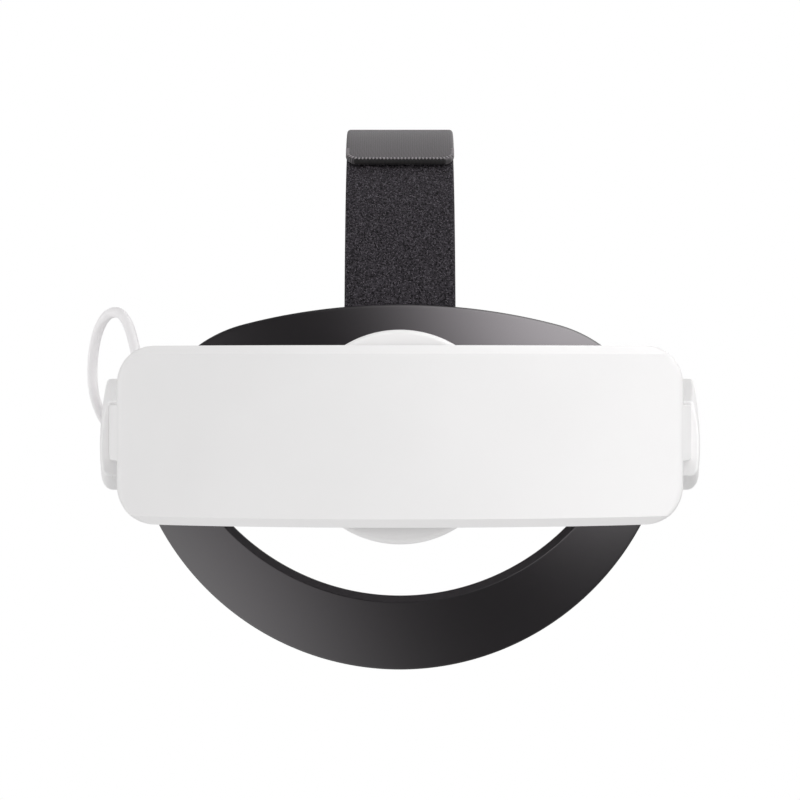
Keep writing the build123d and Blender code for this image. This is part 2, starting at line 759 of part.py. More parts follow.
def outer_section(y):
    # Outer shell's section: a bowed face that leans in at its top
    top = arm_top(y)
    bottom = arm_bottom(y)
    face = arm_outer_x(y)
    bottom_round = min(arm_bottom_round, arm_round_share * arm_outer_share * arm_thickness(y))
    belly = top - arm_belly * (top - bottom)
    with BuildSketch(Plane.XZ.offset(-y)) as section:
        with BuildLine():
            Line((arm_parting_x(y), bottom), (face - arm_low_lean, bottom))
            ThreePointArc((face - arm_low_lean, bottom), (face, belly), (face - arm_lean, top))
            Line((face - arm_lean, top), (arm_parting_x(y), top))
            Line((arm_parting_x(y), top), (arm_parting_x(y), bottom))
        make_face()
        outer_corners = section.vertices().sort_by(Axis.X)[-2:].sort_by(Axis.Y)
        fillet(outer_corners[0], bottom_round)
        fillet(section.vertices().sort_by(Axis.Y)[-2:].sort_by(Axis.X)[-1], arm_top_round)
    return section.sketch


def inner_section(y):
    # Inner shell's section: flat, with small rounds
    face = arm_outer_x(y) - arm_thickness(y)
    with BuildSketch(Plane.XZ.offset(-y)) as section:
        with BuildLine():
            Polyline((arm_parting_x(y), arm_bottom(y)), (arm_parting_x(y), arm_top(y)),
                     (face, arm_top(y)), (face, arm_bottom(y)), close=True)
        make_face()
        fillet(section.vertices().sort_by(Axis.X)[:2], arm_top_round)
    return section.sketch


def arm_shell(section_at):
    stations = (arm_rear_y, (arm_rear_y + arm_bend_y) / 2, arm_bend_y, arm_front_y)
    with BuildPart() as shell:
        for near, far in zip(stations, stations[1:]):
            loft([section_at(near), section_at(far)], ruled=True)
    return shell.part


entry_x = arm_parting_x(arm_rear_y)
entry_slope = (arm_parting_x(arm_bend_y) - entry_x) / (arm_bend_y - arm_rear_y)
socket_x = arm_front_x - arm_front_thickness / 2
socket_top = (arm_front_top + arm_front_bottom) / 2 + socket_height / 2
arm_middle_z = (arm_rear_top + arm_rear_bottom) / 2
screw_y = arm_rear_y + blade_grip + arm_screw_setback
bend_start_turn = rack_reach + 9


def blade(middle):
    # Flexible band from a rack's outer end to the grip inside an arm, for the right side
    first_turn = rack_reach + degrees(soft_gap / middle)
    bend = (middle * sin(radians(bend_start_turn)), -middle * cos(radians(bend_start_turn)))
    inside = (entry_x + entry_slope * blade_grip, arm_rear_y + blade_grip)
    with BuildPart() as band:
        with BuildSketch(Plane.XY.offset(-blade_height / 2)):
            with BuildLine():
                CenterArc((0, 0), middle, first_turn - 90, bend_start_turn - first_turn)
                Spline(bend, (entry_x, arm_rear_y),
                       tangents=((cos(radians(bend_start_turn)), sin(radians(bend_start_turn))),
                                 (entry_slope, 1)))
                Line((entry_x, arm_rear_y), inside)
            trace(line_width=blade_thickness)
        extrude(amount=blade_height)
    return band


right_blade = blade(right_rack_face + rack_thickness / 2)
left_blade = left_of(blade(left_rack_face + rack_thickness / 2))

with BuildPart() as socket_block:
    with BuildSketch(Plane.XZ.offset(-arm_front_y)):
        with Locations((socket_x, socket_top - socket_height / 2)):
            RectangleRounded(socket_width + 2 * socket_lining, socket_height + 2 * socket_lining,
                             socket_corner + socket_lining)
    extrude(amount=socket_depth + socket_lining)

with BuildPart() as right_socket_pad:
    add(socket_block.part)
    with BuildSketch(Plane.XZ.offset(-arm_front_y)):
        with Locations((socket_x, socket_top - socket_height / 2)):
            RectangleRounded(socket_width, socket_height, socket_corner)
    extrude(amount=socket_depth, mode=Mode.SUBTRACT)

with BuildPart() as right_arm_screws:
    for along in (0, arm_screw_spacing):
        y = screw_y + along
        face = arm_outer_x(y) - arm_thickness(y) + screw_recess
        with BuildSketch(Plane.YZ.offset(face)):
            with Locations((y, arm_middle_z)):
                Circle(screw_radius)
        extrude(amount=arm_thickness(y) - screw_recess - 2)
        with BuildSketch(Plane.YZ.offset(face)):
            with Locations((y, arm_middle_z)):
                Circle(screw_head_radius)
        extrude(amount=screw_head_height)

with BuildPart() as arm_screw_ways:
    add(right_arm_screws.part)
    for along in (0, arm_screw_spacing):
        y = screw_y + along
        face = arm_outer_x(y) - arm_thickness(y) + screw_recess
        with BuildSketch(Plane.YZ.offset(face)):
            with Locations((y, arm_middle_z)):
                Circle(screw_head_radius)
        extrude(amount=-2 * screw_recess)

with BuildPart() as right_arm_outer:
    add(arm_shell(outer_section))
    add(right_blade.part, mode=Mode.SUBTRACT)
    add(socket_block.part, mode=Mode.SUBTRACT)
    add(arm_screw_ways.part, mode=Mode.SUBTRACT)

with BuildPart() as right_arm_inner:
    add(arm_shell(inner_section))
    add(right_blade.part, mode=Mode.SUBTRACT)
    add(socket_block.part, mode=Mode.SUBTRACT)
    add(arm_screw_ways.part, mode=Mode.SUBTRACT)

left_arm_screws = left_of(right_arm_screws)
left_socket_pad = left_of(right_socket_pad)

with BuildPart() as left_arm_outer:
    mirror(arm_shell(outer_section), about=Plane.YZ)
    mirror(socket_block.part, about=Plane.YZ, mode=Mode.SUBTRACT)
    mirror(arm_screw_ways.part, about=Plane.YZ, mode=Mode.SUBTRACT)
    add(left_blade.part, mode=Mode.SUBTRACT)

# ---- cable and its gland on the left arm ----
cable_exit = Vector(*cable_route[0])
exit_way = (Vector(*cable_route[1]) - cable_exit).normalized()
gland_base = cable_exit - exit_way * gland_length
gland_plane = Plane(origin=gland_base, x_dir=(1, 0, 0), z_dir=exit_way)

with BuildPart() as cable_gland:
    with BuildSketch(gland_plane):
        Circle(gland_radius)
    extrude(amount=gland_length / 4)
    with BuildSketch(gland_plane.offset(gland_length / 4)):
        Circle(gland_radius - gland_step)
    with BuildSketch(gland_plane.offset(gland_length)):
        Circle(cable_diameter / 2 + gland_lip)
    loft()

with BuildPart() as left_arm_inner:
    mirror(arm_shell(inner_section), about=Plane.YZ)
    with BuildSketch(gland_plane):
        Circle(gland_radius + boss_wall)
    extrude(amount=-gland_boss_length)
    mirror(socket_block.part, about=Plane.YZ, mode=Mode.SUBTRACT)
    mirror(arm_screw_ways.part, about=Plane.YZ, mode=Mode.SUBTRACT)
    add(left_blade.part, mode=Mode.SUBTRACT)

cable_radii = []
for before, here, after in zip(cable_route, cable_route[1:], cable_route[2:]):
    first = Vector(*here) - Vector(*before)
    second = Vector(*after) - Vector(*here)
    half_turn = radians(first.get_angle(second)) / 2
    cable_radii.append(bend_share * min(first.length, second.length) / tan(half_turn))
print("cable bend radii", [round(radius, 1) for radius in cable_radii])

with BuildPart() as power_cable:
    with BuildLine() as cable_path:
        FilletPolyline(*cable_route, radius=cable_radii)
    with BuildSketch(Plane(origin=cable_exit, x_dir=(1, 0, 0), z_dir=exit_way)):
        Circle(cable_diameter / 2)
    sweep(path=cable_path.wires()[0])

cable_length = cable_path.wires()[0].length
cable_section = pi * cable_diameter**2 / 4
print("cable length", round(cable_length, 2), "volume share",
      round(power_cable.part.volume / (cable_section * cable_length), 4))

plug_start = Vector(*cable_route[-1])
plug_way = (plug_start - Vector(*cable_route[-2])).normalized()
plug_plane = Plane(origin=plug_start, x_dir=plug_way.cross(Vector(0, 0, 1)), z_dir=plug_way)

with BuildPart() as plug_body:
    with BuildSketch(plug_plane):
        Circle(cable_diameter / 2 + gland_lip)
    with BuildSketch(plug_plane.offset(plug_length / 4)):
        RectangleRounded(plug_width, plug_thickness, plug_thickness * 0.4)
    loft()
    with BuildSketch(plug_plane.offset(plug_length / 4)):
        RectangleRounded(plug_width, plug_thickness, plug_thickness * 0.4)
    extrude(amount=plug_length * 3 / 4)

with BuildPart() as plug_shell:
    with BuildSketch(plug_plane.offset(plug_length)):
        SlotOverall(shell_width, shell_thickness)
        SlotOverall(shell_width - 2 * shell_wall, shell_thickness - 2 * shell_wall,
                    mode=Mode.SUBTRACT)
    extrude(amount=shell_length)

finish(right_arm_outer, "right_arm_outer")
finish(right_arm_inner, "right_arm_inner")
finish(right_blade, "right_blade")
finish(right_socket_pad, "right_socket_pad")
finish(right_arm_screws, "right_arm_screws")
finish(left_arm_outer, "left_arm_outer")
finish(left_arm_inner, "left_arm_inner")
finish(left_blade, "left_blade")
finish(left_socket_pad, "left_socket_pad")
finish(left_arm_screws, "left_arm_screws")
finish(cable_gland, "cable_gland")
finish(power_cable, "power_cable")
finish(plug_body, "plug_body")
finish(plug_shell, "plug_shell")

# ---- straps ----
with BuildPart() as top_strap:
    with BuildSketch(Plane.YZ):
        with BuildLine():
            Line(tail_point, rise_point)
            CenterArc(crown_centre, crown_radius, 90, 90 - strap_lean)
            CenterArc(front_centre, front_radius, 90 - front_drop, front_drop)
            Line((front_centre[0] + front_radius * drop_y, front_centre[1] + front_radius * drop_z),
                 fold_start)
            CenterArc(fold_centre, fold_radius, -90 - front_drop, 180 + front_drop - leave_turn)
        trace(line_width=strap_thickness)
    extrude(amount=strap_width / 2, both=True)
    add(anchor_screws.part, mode=Mode.SUBTRACT)

flap_way = (flap_leave[0] - flap_root[0], flap_leave[1] - flap_root[1])
flap_start = (flap_root[0] + flap_way[0] / hypot(*flap_way) * soft_gap,
              flap_root[1] + flap_way[1] / hypot(*flap_way) * soft_gap)
hook_radius = crown_radius + strap_thickness / 2 + soft_gap + hook_thickness / 2

with BuildPart() as strap_flap:
    with BuildSketch(Plane.YZ):
        with BuildLine():
            Line(flap_start, flap_leave)
            CenterArc(front_centre, flap_front_radius, 90 - leave_turn, leave_turn)
            CenterArc(crown_centre, flap_crown_radius, 90, flap_end_turn)
        trace(line_width=strap_thickness)
    extrude(amount=flap_width / 2, both=True)
    flap_end_edges = strap_flap.edges().filter_by(GeomType.LINE).filter_by(
        lambda edge: abs(edge.length - strap_thickness) < 0.01).sort_by(Axis.Y)[:2]
    fillet(flap_end_edges, flap_corner)

with BuildPart() as hook_patch:
    with BuildSketch(Plane.YZ):
        with BuildLine():
            CenterArc(crown_centre, hook_radius, 90 + flap_end_turn - hook_length_turn,
                      hook_length_turn - degrees(flap_corner / crown_radius))
        trace(line_width=hook_thickness)
    extrude(amount=flap_width / 2 - hook_inset, both=True)

finish(top_strap, "top_strap")
finish(strap_flap, "strap_flap")
finish(hook_patch, "hook_patch")
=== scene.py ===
# A head strap for a worn display, dressed over its CAD frame.
# Pieces are measured in millimetres, and the camera, lights and floor in metres. +X is the
# wearer's right, +Y is forward and +Z is up, as in the frame.
from math import atan2, cos, degrees, dist, hypot, pi, radians, sin, sqrt, tan

import bmesh
import bpy
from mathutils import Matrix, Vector


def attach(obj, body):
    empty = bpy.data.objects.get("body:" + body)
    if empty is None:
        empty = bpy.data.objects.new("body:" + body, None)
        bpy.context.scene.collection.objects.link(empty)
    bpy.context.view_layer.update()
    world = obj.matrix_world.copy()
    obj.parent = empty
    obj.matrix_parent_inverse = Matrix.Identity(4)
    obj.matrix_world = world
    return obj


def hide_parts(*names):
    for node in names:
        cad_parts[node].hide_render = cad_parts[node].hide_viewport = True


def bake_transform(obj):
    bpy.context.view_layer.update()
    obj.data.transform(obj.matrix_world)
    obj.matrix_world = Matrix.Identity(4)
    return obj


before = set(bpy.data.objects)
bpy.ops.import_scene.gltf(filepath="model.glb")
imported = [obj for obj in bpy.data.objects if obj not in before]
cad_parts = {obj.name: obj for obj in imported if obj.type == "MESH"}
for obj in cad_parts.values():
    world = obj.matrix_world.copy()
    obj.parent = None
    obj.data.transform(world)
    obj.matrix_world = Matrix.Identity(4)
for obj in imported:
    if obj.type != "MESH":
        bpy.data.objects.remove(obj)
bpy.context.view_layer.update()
mm = 0.001


class Link:
    # One output socket. Plain maths on it adds Math nodes.
    def __init__(self, surface, socket):
        self.surface = surface
        self.socket = socket

    def output(self, name):
        # Another output of the same node
        return Link(self.surface, self.socket.node.outputs[name])

    def maths(self, operation, *values):
        return self.surface.node("Math", {"operation": operation}, dict(enumerate(values)))

    def __add__(self, other):
        return self.maths("ADD", self, other)

    def __radd__(self, other):
        return self.maths("ADD", other, self)

    def __sub__(self, other):
        return self.maths("SUBTRACT", self, other)

    def __rsub__(self, other):
        return self.maths("SUBTRACT", other, self)

    def __mul__(self, other):
        return self.maths("MULTIPLY", self, other)

    def __rmul__(self, other):
        return self.maths("MULTIPLY", other, self)

    def __truediv__(self, other):
        return self.maths("DIVIDE", self, other)

    def __pow__(self, other):
        return self.maths("POWER", self, other)

    def sine(self):
        return self.maths("SINE", self)

    def least(self, other):
        return self.maths("MINIMUM", self, other)

    def most(self, other):
        return self.maths("MAXIMUM", self, other)


class Surface:
    # A material, or the world, and the nodes put into it
    def __init__(self, owner):
        self.owner = owner
        owner.use_nodes = True
        self.tree = owner.node_tree
        self.tree.nodes.clear()

    def node(self, kind, settings=None, inputs=None, output=0):
        node = self.tree.nodes.new("ShaderNode" + kind)
        for name, value in (settings or {}).items():
            setattr(node, name, value)
        for name, value in (inputs or {}).items():
            socket = node.inputs[name]
            if isinstance(value, Link):
                self.tree.links.new(value.socket, socket)
            else:
                socket.default_value = (*value[:3], 1.0) if socket.type == "RGBA" else value
        return Link(self, node.outputs[output]) if node.outputs else None

    def place(self, scale=(1, 1, 1)):
        here = self.node("TexCoord", output="Object")
        return self.node("Mapping", None, {"Vector": here, "Scale": scale})

    def noise(self, place, scale, detail=2.0, roughness=0.5):
        return self.node("TexNoise", None, {"Vector": place, "Scale": scale, "Detail": detail,
                                            "Roughness": roughness})

    def cells(self, place, scale, feature):
        return self.node("TexVoronoi", {"feature": feature}, {"Vector": place, "Scale": scale})

    def mix(self, share, first, second):
        return self.node("Mix", {"data_type": "RGBA"}, {0: share, 6: first, 7: second}, 2)

    def bump(self, height, depth, strength):
        return self.node("Bump", None, {"Height": height, "Distance": depth, "Strength": strength})

    def finish(self, **sockets):
        names = {"colour": "Base Color", "roughness": "Roughness", "metallic": "Metallic",
                 "normal": "Normal", "specular": "Specular IOR Level", "tint": "Specular Tint",
                 "sheen": "Sheen Weight", "sheenRoughness": "Sheen Roughness",
                 "scatter": "Subsurface Weight"}
        shader = self.node("BsdfPrincipled", None,
                           {names[key]: value for key, value in sockets.items()})
        self.node("OutputMaterial", None, {"Surface": shader})
        return self.owner


def newSurface(name):
    return Surface(bpy.data.materials.new(name))


def fromScreen(*levels):
    # Screen colour, 0 to 255, as the linear colour that shaders use
    return tuple(((v / 255 + 0.055) / 1.055) ** 2.4 if v > 10 else v / 255 / 12.92 for v in levels)


def tones(screenColour, *shares):
    # The colour at several shares of its brightness
    return [tuple(min(1.0, c * share) for c in fromScreen(*screenColour)) for share in shares]


def mouldedPlastic(name, screenColour, grainSize=0.00035, grainDepth=0.000012, roughness=0.42,
                   specular=0.5, drift=0.03):
    # Spark-eroded moulding: fine grain, faint flow marks, and a sheen that wanders a little
    s = newSurface(name)
    here = s.place()
    flow = s.noise(here, 28.0, 3.0)
    grain = s.noise(here, 1 / grainSize, 1.0)
    rubbed = s.noise(here, 140.0, 4.0, 0.6)
    return s.finish(colour=s.mix(flow, *tones(screenColour, 1 - drift, 1 + drift)),
                    roughness=roughness - 0.05 + 0.1 * rubbed, specular=specular,
                    normal=s.bump(grain, grainDepth, 0.6))


def softTouch():
    # Dark satin paint over the ring
    look = {"colour": (31, 29, 31), "tint": (1.0, 0.945, 0.985), "roughness": 0.3,
            "grain": 0.0004, "depth": 0.00001}
    s = newSurface("softTouchGrey")
    here = s.place()
    cloud = s.noise(here, 22.0, 3.0)
    grain = s.noise(here, 1 / look["grain"], 2.0)
    dust = s.noise(here, 900.0, 4.0, 0.7)
    low, high, dusty = tones(look["colour"], 0.93, 1.07, 1.8)
    shade = s.mix((dust - 0.62).most(0.0) * 0.8, s.mix(cloud, low, high), dusty)
    return s.finish(colour=shade, roughness=look["roughness"] - 0.04 + 0.08 * cloud,
                    tint=look["tint"], normal=s.bump(grain, look["depth"], 0.5))


def knitFoam():
    # Close knitted face of the head pad
    look = {"colour": (46, 44, 47), "stitch": 0.0009}
    s = newSurface("knitFoam")
    across = s.place((1 / look["stitch"], 1 / look["stitch"], 1.6 / look["stitch"]))
    height = s.node("SeparateXYZ", None, {"Vector": across}, "Z")
    knit = s.cells(across, 1.0, "SMOOTH_F1")
    rows = (height * (2 * pi)).sine() * 0.5 + 0.5
    fuzz = s.noise(s.place(), 2600.0, 3.0)
    # painted light and shade: the knit's raised stitches are painted lighter and its hollows darker
    litStitch, shadedHollow, hairs = tones(look["colour"], 1.5, 0.55, 1.9)
    return s.finish(colour=s.mix(fuzz * 0.4, s.mix(knit, litStitch, shadedHollow), hairs), roughness=0.86,
                    sheen=0.25, sheenRoughness=0.5,
                    normal=s.bump(rows * 0.3 - knit * 0.7, 0.00025, 0.7))


def brightSteel():
    look = {"colour": (176, 176, 180), "roughness": 0.3}
    s = newSurface("screwSteel")
    here = s.place()
    scratch = s.noise(s.place((1, 1, 18)), 700.0, 4.0, 0.7)
    stain = s.noise(here, 300.0, 3.0)
    return s.finish(colour=s.mix(stain, *tones(look["colour"], 0.86, 1.0)), metallic=1.0,
                    roughness=look["roughness"] + 0.12 * scratch,
                    normal=s.bump(scratch, 0.000008, 0.5))


def acetal():
    # Waxy gear plastic
    s = newSurface("acetal")
    here = s.place()
    cloud = s.noise(here, 90.0, 3.0)
    swirl = s.noise(here, 1500.0, 2.0)
    shade = s.mix(cloud, fromScreen(224, 220, 208), fromScreen(236, 233, 222))
    return s.finish(colour=shade, roughness=0.3 + 0.1 * cloud, scatter=0.1,
                    normal=s.bump(swirl, 0.00001, 0.5))


def cellFoil():
    # Crimped pouch of a battery cell
    s = newSurface("cellFoil")
    here = s.place()
    crease = s.noise(here, 160.0, 4.0, 0.6)
    fine = s.noise(here, 1200.0, 2.0)
    shade = s.mix(crease, fromScreen(150, 152, 156), fromScreen(196, 198, 202))
    return s.finish(colour=shade, metallic=0.85, roughness=0.28 + 0.2 * fine,
                    normal=s.bump(crease, 0.0003, 0.6))


def laminate():
    # Circuit board: green mask over copper runs
    s = newSurface("boardLaminate")
    here = s.place()
    runs = s.cells(s.place((320, 320, 320)), 1.0, "DISTANCE_TO_EDGE")
    copper = 1 - (runs * 9.0).least(1.0)
    speck = s.noise(here, 2400.0, 1.0)
    shade = s.mix(copper, fromScreen(26, 74, 48), fromScreen(44, 108, 68))
    return s.finish(colour=s.mix(speck * 0.2, shade, fromScreen(16, 50, 34)), roughness=0.34,
                    normal=s.bump(copper, 0.00004, 0.6))


def lightLens():
    s = newSurface("lightLens")
    milk = s.noise(s.place(), 900.0, 2.0)
    shade = s.mix(milk, fromScreen(214, 226, 232), fromScreen(236, 242, 244))
    return s.finish(colour=shade, roughness=0.18 + 0.08 * milk, scatter=0.3)


def pileGround():
    # Ground weave under the loops of the crown strap
    look = {"colour": (38, 36, 39), "pitch": 0.0008}
    s = newSurface("pileGround")
    here = s.place()
    tuft = s.cells(here, 1 / look["pitch"], "SMOOTH_F1")
    shadow = s.noise(here, 1700.0, 2.0, 0.6)
    # painted shadow: where the shadow noise is low the ground weave is painted dark, and where it
    # is high it is painted in lighter specks
    speck = (shadow * 4.0 - 1.5).most(0.0).least(1.0)
    return s.finish(colour=s.mix(speck, *tones(look["colour"], 0.35, 3.2)), roughness=0.95,
                    specular=0.08, normal=s.bump(shadow - tuft, 0.0004, 0.8))


def pileLoops():
    look = {"dark": (30, 28, 31), "pale": (122, 117, 124)}
    s = newSurface("pileLoops")
    here = s.place()
    tone = s.noise(here, 1500.0, 1.0, 0.5)
    patch = s.noise(here, 260.0, 2.0)
    share = (tone * 4.6 - 2.05 + 0.3 * patch).most(0.0).least(1.0)
    return s.finish(colour=s.mix(share, fromScreen(*look["dark"]), fromScreen(*look["pale"])),
                    roughness=0.8, specular=0.15)


def twill():
    # Fine diagonal weave of the flap, laid along its own map, with painted shade on the turned end
    look = {"colour": (82, 79, 81), "pitch": 0.00086, "slope": 0.75}
    s = newSurface("strapTwill")
    chart = s.node("TexCoord", output="UV")
    u = s.node("SeparateXYZ", None, {"Vector": chart})
    turn = 2 * pi / look["pitch"]
    ribs = ((u * look["slope"] + u.output("Y")) * turn).sine() * 0.5 + 0.5
    yarns = (u * (turn * 1.3)).sine() * 0.5 + 0.5
    # painted shade: the last part of the flap's length, its turned end, is painted darker
    hem = s.node("Attribute", {"attribute_name": "hem"}, output="Fac")
    fuzz = s.noise(chart, 2500.0, 3.0)
    # painted shade and highlight: the weave's grooves are painted dark and its ridges light, along
    # the same ribs as the bump
    deep, high, worn, paintedEndShade = tones(look["colour"], 0.12, 1.75, 0.7, 0.16)
    shade = s.mix(fuzz * 0.25, s.mix(ribs * 0.85 + yarns * 0.15, deep, high), worn)
    return s.finish(colour=s.mix(hem, shade, paintedEndShade), roughness=0.7 + 0.1 * fuzz, specular=0.3,
                    sheen=0.12, sheenRoughness=0.35,
                    normal=s.bump(ribs * 0.8 + yarns * 0.2, 0.00012, 0.7))


def thread():
    s = newSurface("edgeThread")
    twist = s.noise(s.place(), 3500.0, 2.0)
    return s.finish(colour=s.mix(twist, *tones((140, 135, 138), 0.7, 1.0)), roughness=0.75,
                    sheen=0.2, normal=s.bump(twist, 0.00005, 0.5))


def cableJacket():
    # Soft white jacket, slightly waxy
    s = newSurface("cableJacket")
    here = s.place()
    wave = s.noise(here, 70.0, 2.0)
    skin = s.noise(here, 2600.0, 2.0)
    shade = s.mix(wave, fromScreen(236, 234, 235), fromScreen(244, 242, 243))
    return s.finish(colour=shade, roughness=0.46 + 0.08 * skin, specular=0.35,
                    normal=s.bump(skin, 0.00001, 0.5))


finishes = {
    "white_plastic": mouldedPlastic("whitePlastic", (236, 235, 235), specular=0.3),
    "housing_plastic": mouldedPlastic("housingPlastic", (206, 204, 206), 0.0005, 0.00003, 0.52),
    "ring_plastic": softTouch(),
    "pad_rubber": knitFoam(),
    "screw_steel": brightSteel(),
    "gear_plastic": acetal(),
    "cell_foil": cellFoil(),
    "board_laminate": laminate(),
    "light_lens": lightLens(),
    "loop_pile": pileGround(),
    "strap_twill": twill(),
    "hook_tape": mouldedPlastic("hookTape", (40, 39, 41), 0.0006, 0.00004, 0.6),
    "blade_plastic": mouldedPlastic("bladePlastic", (240, 239, 239), 0.0004, 0.00002, 0.45, 0.3),
    "cable_rubber": cableJacket(),
}
# painted light: the arm shells take the white plastic painted lighter, in place of light on the
# arms
armPlastic = mouldedPlastic("armPlastic", (246, 245, 245), specular=0.3, drift=0.015)
loopFibre = pileLoops()
edgeThread = thread()
socketLining = mouldedPlastic("socketLining", (58, 57, 60), 0.0005, 0.00003, 0.7, 0.3)
print("materials made:", len(finishes) + 4)


def spread(start, end, count):
    # Even values from start to end, both included
    return [start + (end - start) * k / count for k in range(count + 1)]


def addObject(name, data):
    piece = bpy.data.objects.new(name, data)
    bpy.context.scene.collection.objects.link(piece)
    return piece


def mergeDoubles(piece, within=0.000001, faceOut=True):
    work = bmesh.new()
    work.from_mesh(piece.data)
    bmesh.ops.remove_doubles(work, verts=work.verts, dist=within)
    if faceOut:
        bmesh.ops.recalc_face_normals(work, faces=work.faces)
    work.to_mesh(piece.data)
    work.free()


def makeMesh(name, points, faces=(), closed=True):
    mesh = bpy.data.meshes.new(name)
    mesh.from_pydata([tuple(c * mm for c in point) for point in points], [], faces)
    piece = addObject(name, mesh)
    if closed:
        mergeDoubles(piece)
    return piece


def markPoints(piece, name, values):
    # Keeps a number or a vector on each point, for the node trees and materials
    if isinstance(values[0], float):
        piece.data.attributes.new(name, "FLOAT", "POINT").data.foreach_set("value", values)
    else:
        flat = [c for value in values for c in value]
        piece.data.attributes.new(name, "FLOAT_VECTOR", "POINT").data.foreach_set("vector", flat)


def joinLoops(loops, around=False):
    # Quads between closed loops of equal length. around joins the last loop to the first.
    count = len(loops[0])
    points = [point for loop in loops for point in loop]
    faces = []
    for row in range(len(loops) - (not around)):
        near, far = row * count, (row + 1) % len(loops) * count
        for i in range(count):
            j = (i + 1) % count
            faces.append((near + i, near + j, far + j, far + i))
    return points, faces


def tube(name, loops):
    # Closed solid through loops, capped at both ends
    points, faces = joinLoops(loops)
    count = len(loops[0])
    faces.append(tuple(reversed(range(count))))
    faces.append(tuple(range(len(points) - count, len(points))))
    return makeMesh(name, points, faces)


def lathe(name, profile, steps, origin=(0, 0, 0), axis=(0, 1, 0)):
    # Closed profile of (radius, distance along the axis), turned once round it
    axis = Vector(axis).normalized()
    side = axis.orthogonal().normalized()
    other = axis.cross(side)
    loops = []
    for turn in spread(0, 2 * pi, steps)[:-1]:
        out = side * cos(turn) + other * sin(turn)
        loops.append([tuple(Vector(origin) + out * r + axis * along) for r, along in profile])
    return makeMesh(name, *joinLoops(loops, True))


def applyAll(piece):
    # The piece with its modifiers made part of its mesh
    bpy.context.view_layer.update()
    seen = piece.evaluated_get(bpy.context.evaluated_depsgraph_get())
    mesh = bpy.data.meshes.new_from_object(seen)
    piece.modifiers.clear()
    piece.data = mesh
    return piece


def smooth(piece, angle=50):
    piece.data.shade_smooth()
    piece.data.set_sharp_from_angle(angle=radians(angle))
    return piece


def evenShading(piece, angle):
    # Large faces keep their own shading beside small rounds
    smooth(piece, angle)
    weigh = piece.modifiers.new("weigh", "WEIGHTED_NORMAL")
    weigh.keep_sharp = True
    weigh.weight = 80
    return applyAll(piece)


def cutAway(piece, *cutters):
    for cutter in cutters:
        cut = piece.modifiers.new("cut", "BOOLEAN")
        cut.operation = "DIFFERENCE"
        cut.solver = "EXACT"
        cut.object = cutter
        applyAll(piece)
        bpy.data.objects.remove(cutter)


def finishPiece(piece, body, slot, nodes=(), material=None):
    piece.data.materials.clear()
    piece.data.materials.append(material or finishes[slot])
    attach(piece, body)
    if nodes:
        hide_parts(*nodes)
    return piece


def smoothCopy(name, node, body, slot, material=None):
    # The frame's own shape, merged and shaded smooth
    piece = addObject(name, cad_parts[node].data.copy())
    mergeDoubles(piece, 0.000002, False)
    if piece.data.has_custom_normals:
        with bpy.context.temp_override(object=piece, active_object=piece, selected_objects=[piece]):
            bpy.ops.mesh.customdata_custom_splitnormals_clear()
    return finishPiece(evenShading(piece, 28), body, slot, [node], material)


class Tree:
    # A geometry node tree with named inputs. In node(), an input's name stands for its socket.
    def __init__(self, name, inputs):
        self.tree = bpy.data.node_groups.new(name, "GeometryNodeTree")
        face = self.tree.interface
        face.new_socket(name="Geometry", in_out="INPUT", socket_type="NodeSocketGeometry")
        self.values = {}
        for label, value in inputs.items():
            kind = "NodeSocketInt" if isinstance(value, int) else "NodeSocketFloat"
            socket = face.new_socket(name=label, in_out="INPUT", socket_type=kind)
            socket.default_value = value
            self.values[socket.identifier] = value
        face.new_socket(name="Geometry", in_out="OUTPUT", socket_type="NodeSocketGeometry")
        self.entry = self.tree.nodes.new("NodeGroupInput")
        self.exit = self.tree.nodes.new("NodeGroupOutput")

    def node(self, kind, settings=None, inputs=None, output=0):
        node = self.tree.nodes.new(kind)
        for name, value in (settings or {}).items():
            setattr(node, name, value)
        for name, value in (inputs or {}).items():
            if isinstance(value, str) and value in self.entry.outputs:
                value = self.entry.outputs[value]
            for source in value if isinstance(value, list) else [value]:
                if isinstance(source, bpy.types.NodeSocket):
                    self.tree.links.new(source, node.inputs[name])
                else:
                    node.inputs[name].default_value = source
        return node.outputs[output]

    def maths(self, operation, first, second):
        return self.node("ShaderNodeMath", {"operation": operation}, {0: first, 1: second})

    def vector(self, x=0.0, y=0.0, z=0.0):
        return self.node("ShaderNodeCombineXYZ", None, {0: x, 1: y, 2: z})

    def marked(self, name, kind="FLOAT_VECTOR"):
        return self.node("GeometryNodeInputNamedAttribute", {"data_type": kind}, {"Name": name})

    def aim(self, axis, way, start=(0, 0, 0), pivot="AUTO"):
        # Rotation that turns an axis towards way
        return self.node("FunctionNodeAlignRotationToVector", {"axis": axis, "pivot_axis": pivot},
                         {"Rotation": start, "Vector": way})

    def move(self, geometry, **how):
        return self.node("GeometryNodeTransform", None, {"Geometry": geometry, **how})

    def copies(self, points, shape, turn, scale=(1, 1, 1)):
        return self.node("GeometryNodeInstanceOnPoints", None, {
            "Points": points, "Instance": shape, "Rotation": turn, "Scale": scale})

    def fibre(self, steps, radius, start, sweep, sides, caps):
        # Bent fibre that stands upright, as thick as the input Fibre
        bow = self.node("GeometryNodeCurveArc", None, {
            "Resolution": steps, "Radius": radius, "Start Angle": radians(start),
            "Sweep Angle": radians(sweep)})
        section = self.node("GeometryNodeCurvePrimitiveCircle", None, {
            "Resolution": sides, "Radius": "Fibre"})
        return self.node("GeometryNodeCurveToMesh", None, {
            "Curve": self.move(bow, Rotation=(pi / 2, 0, 0)), "Profile Curve": section,
            "Fill Caps": caps})

    def end(self, geometry, material):
        real = self.node("GeometryNodeRealizeInstances", None, {"Geometry": geometry})
        done = self.node("GeometryNodeSetMaterial", None, {"Geometry": real, "Material": material})
        self.tree.links.new(done, self.exit.inputs[0])

    def run(self, base):
        # Puts the tree on base, and leaves the plain mesh that comes out of it
        step = base.modifiers.new(self.tree.name, "NODES")
        step.node_group = self.tree
        for identifier, value in self.values.items():
            step[identifier] = value
        return applyAll(base)


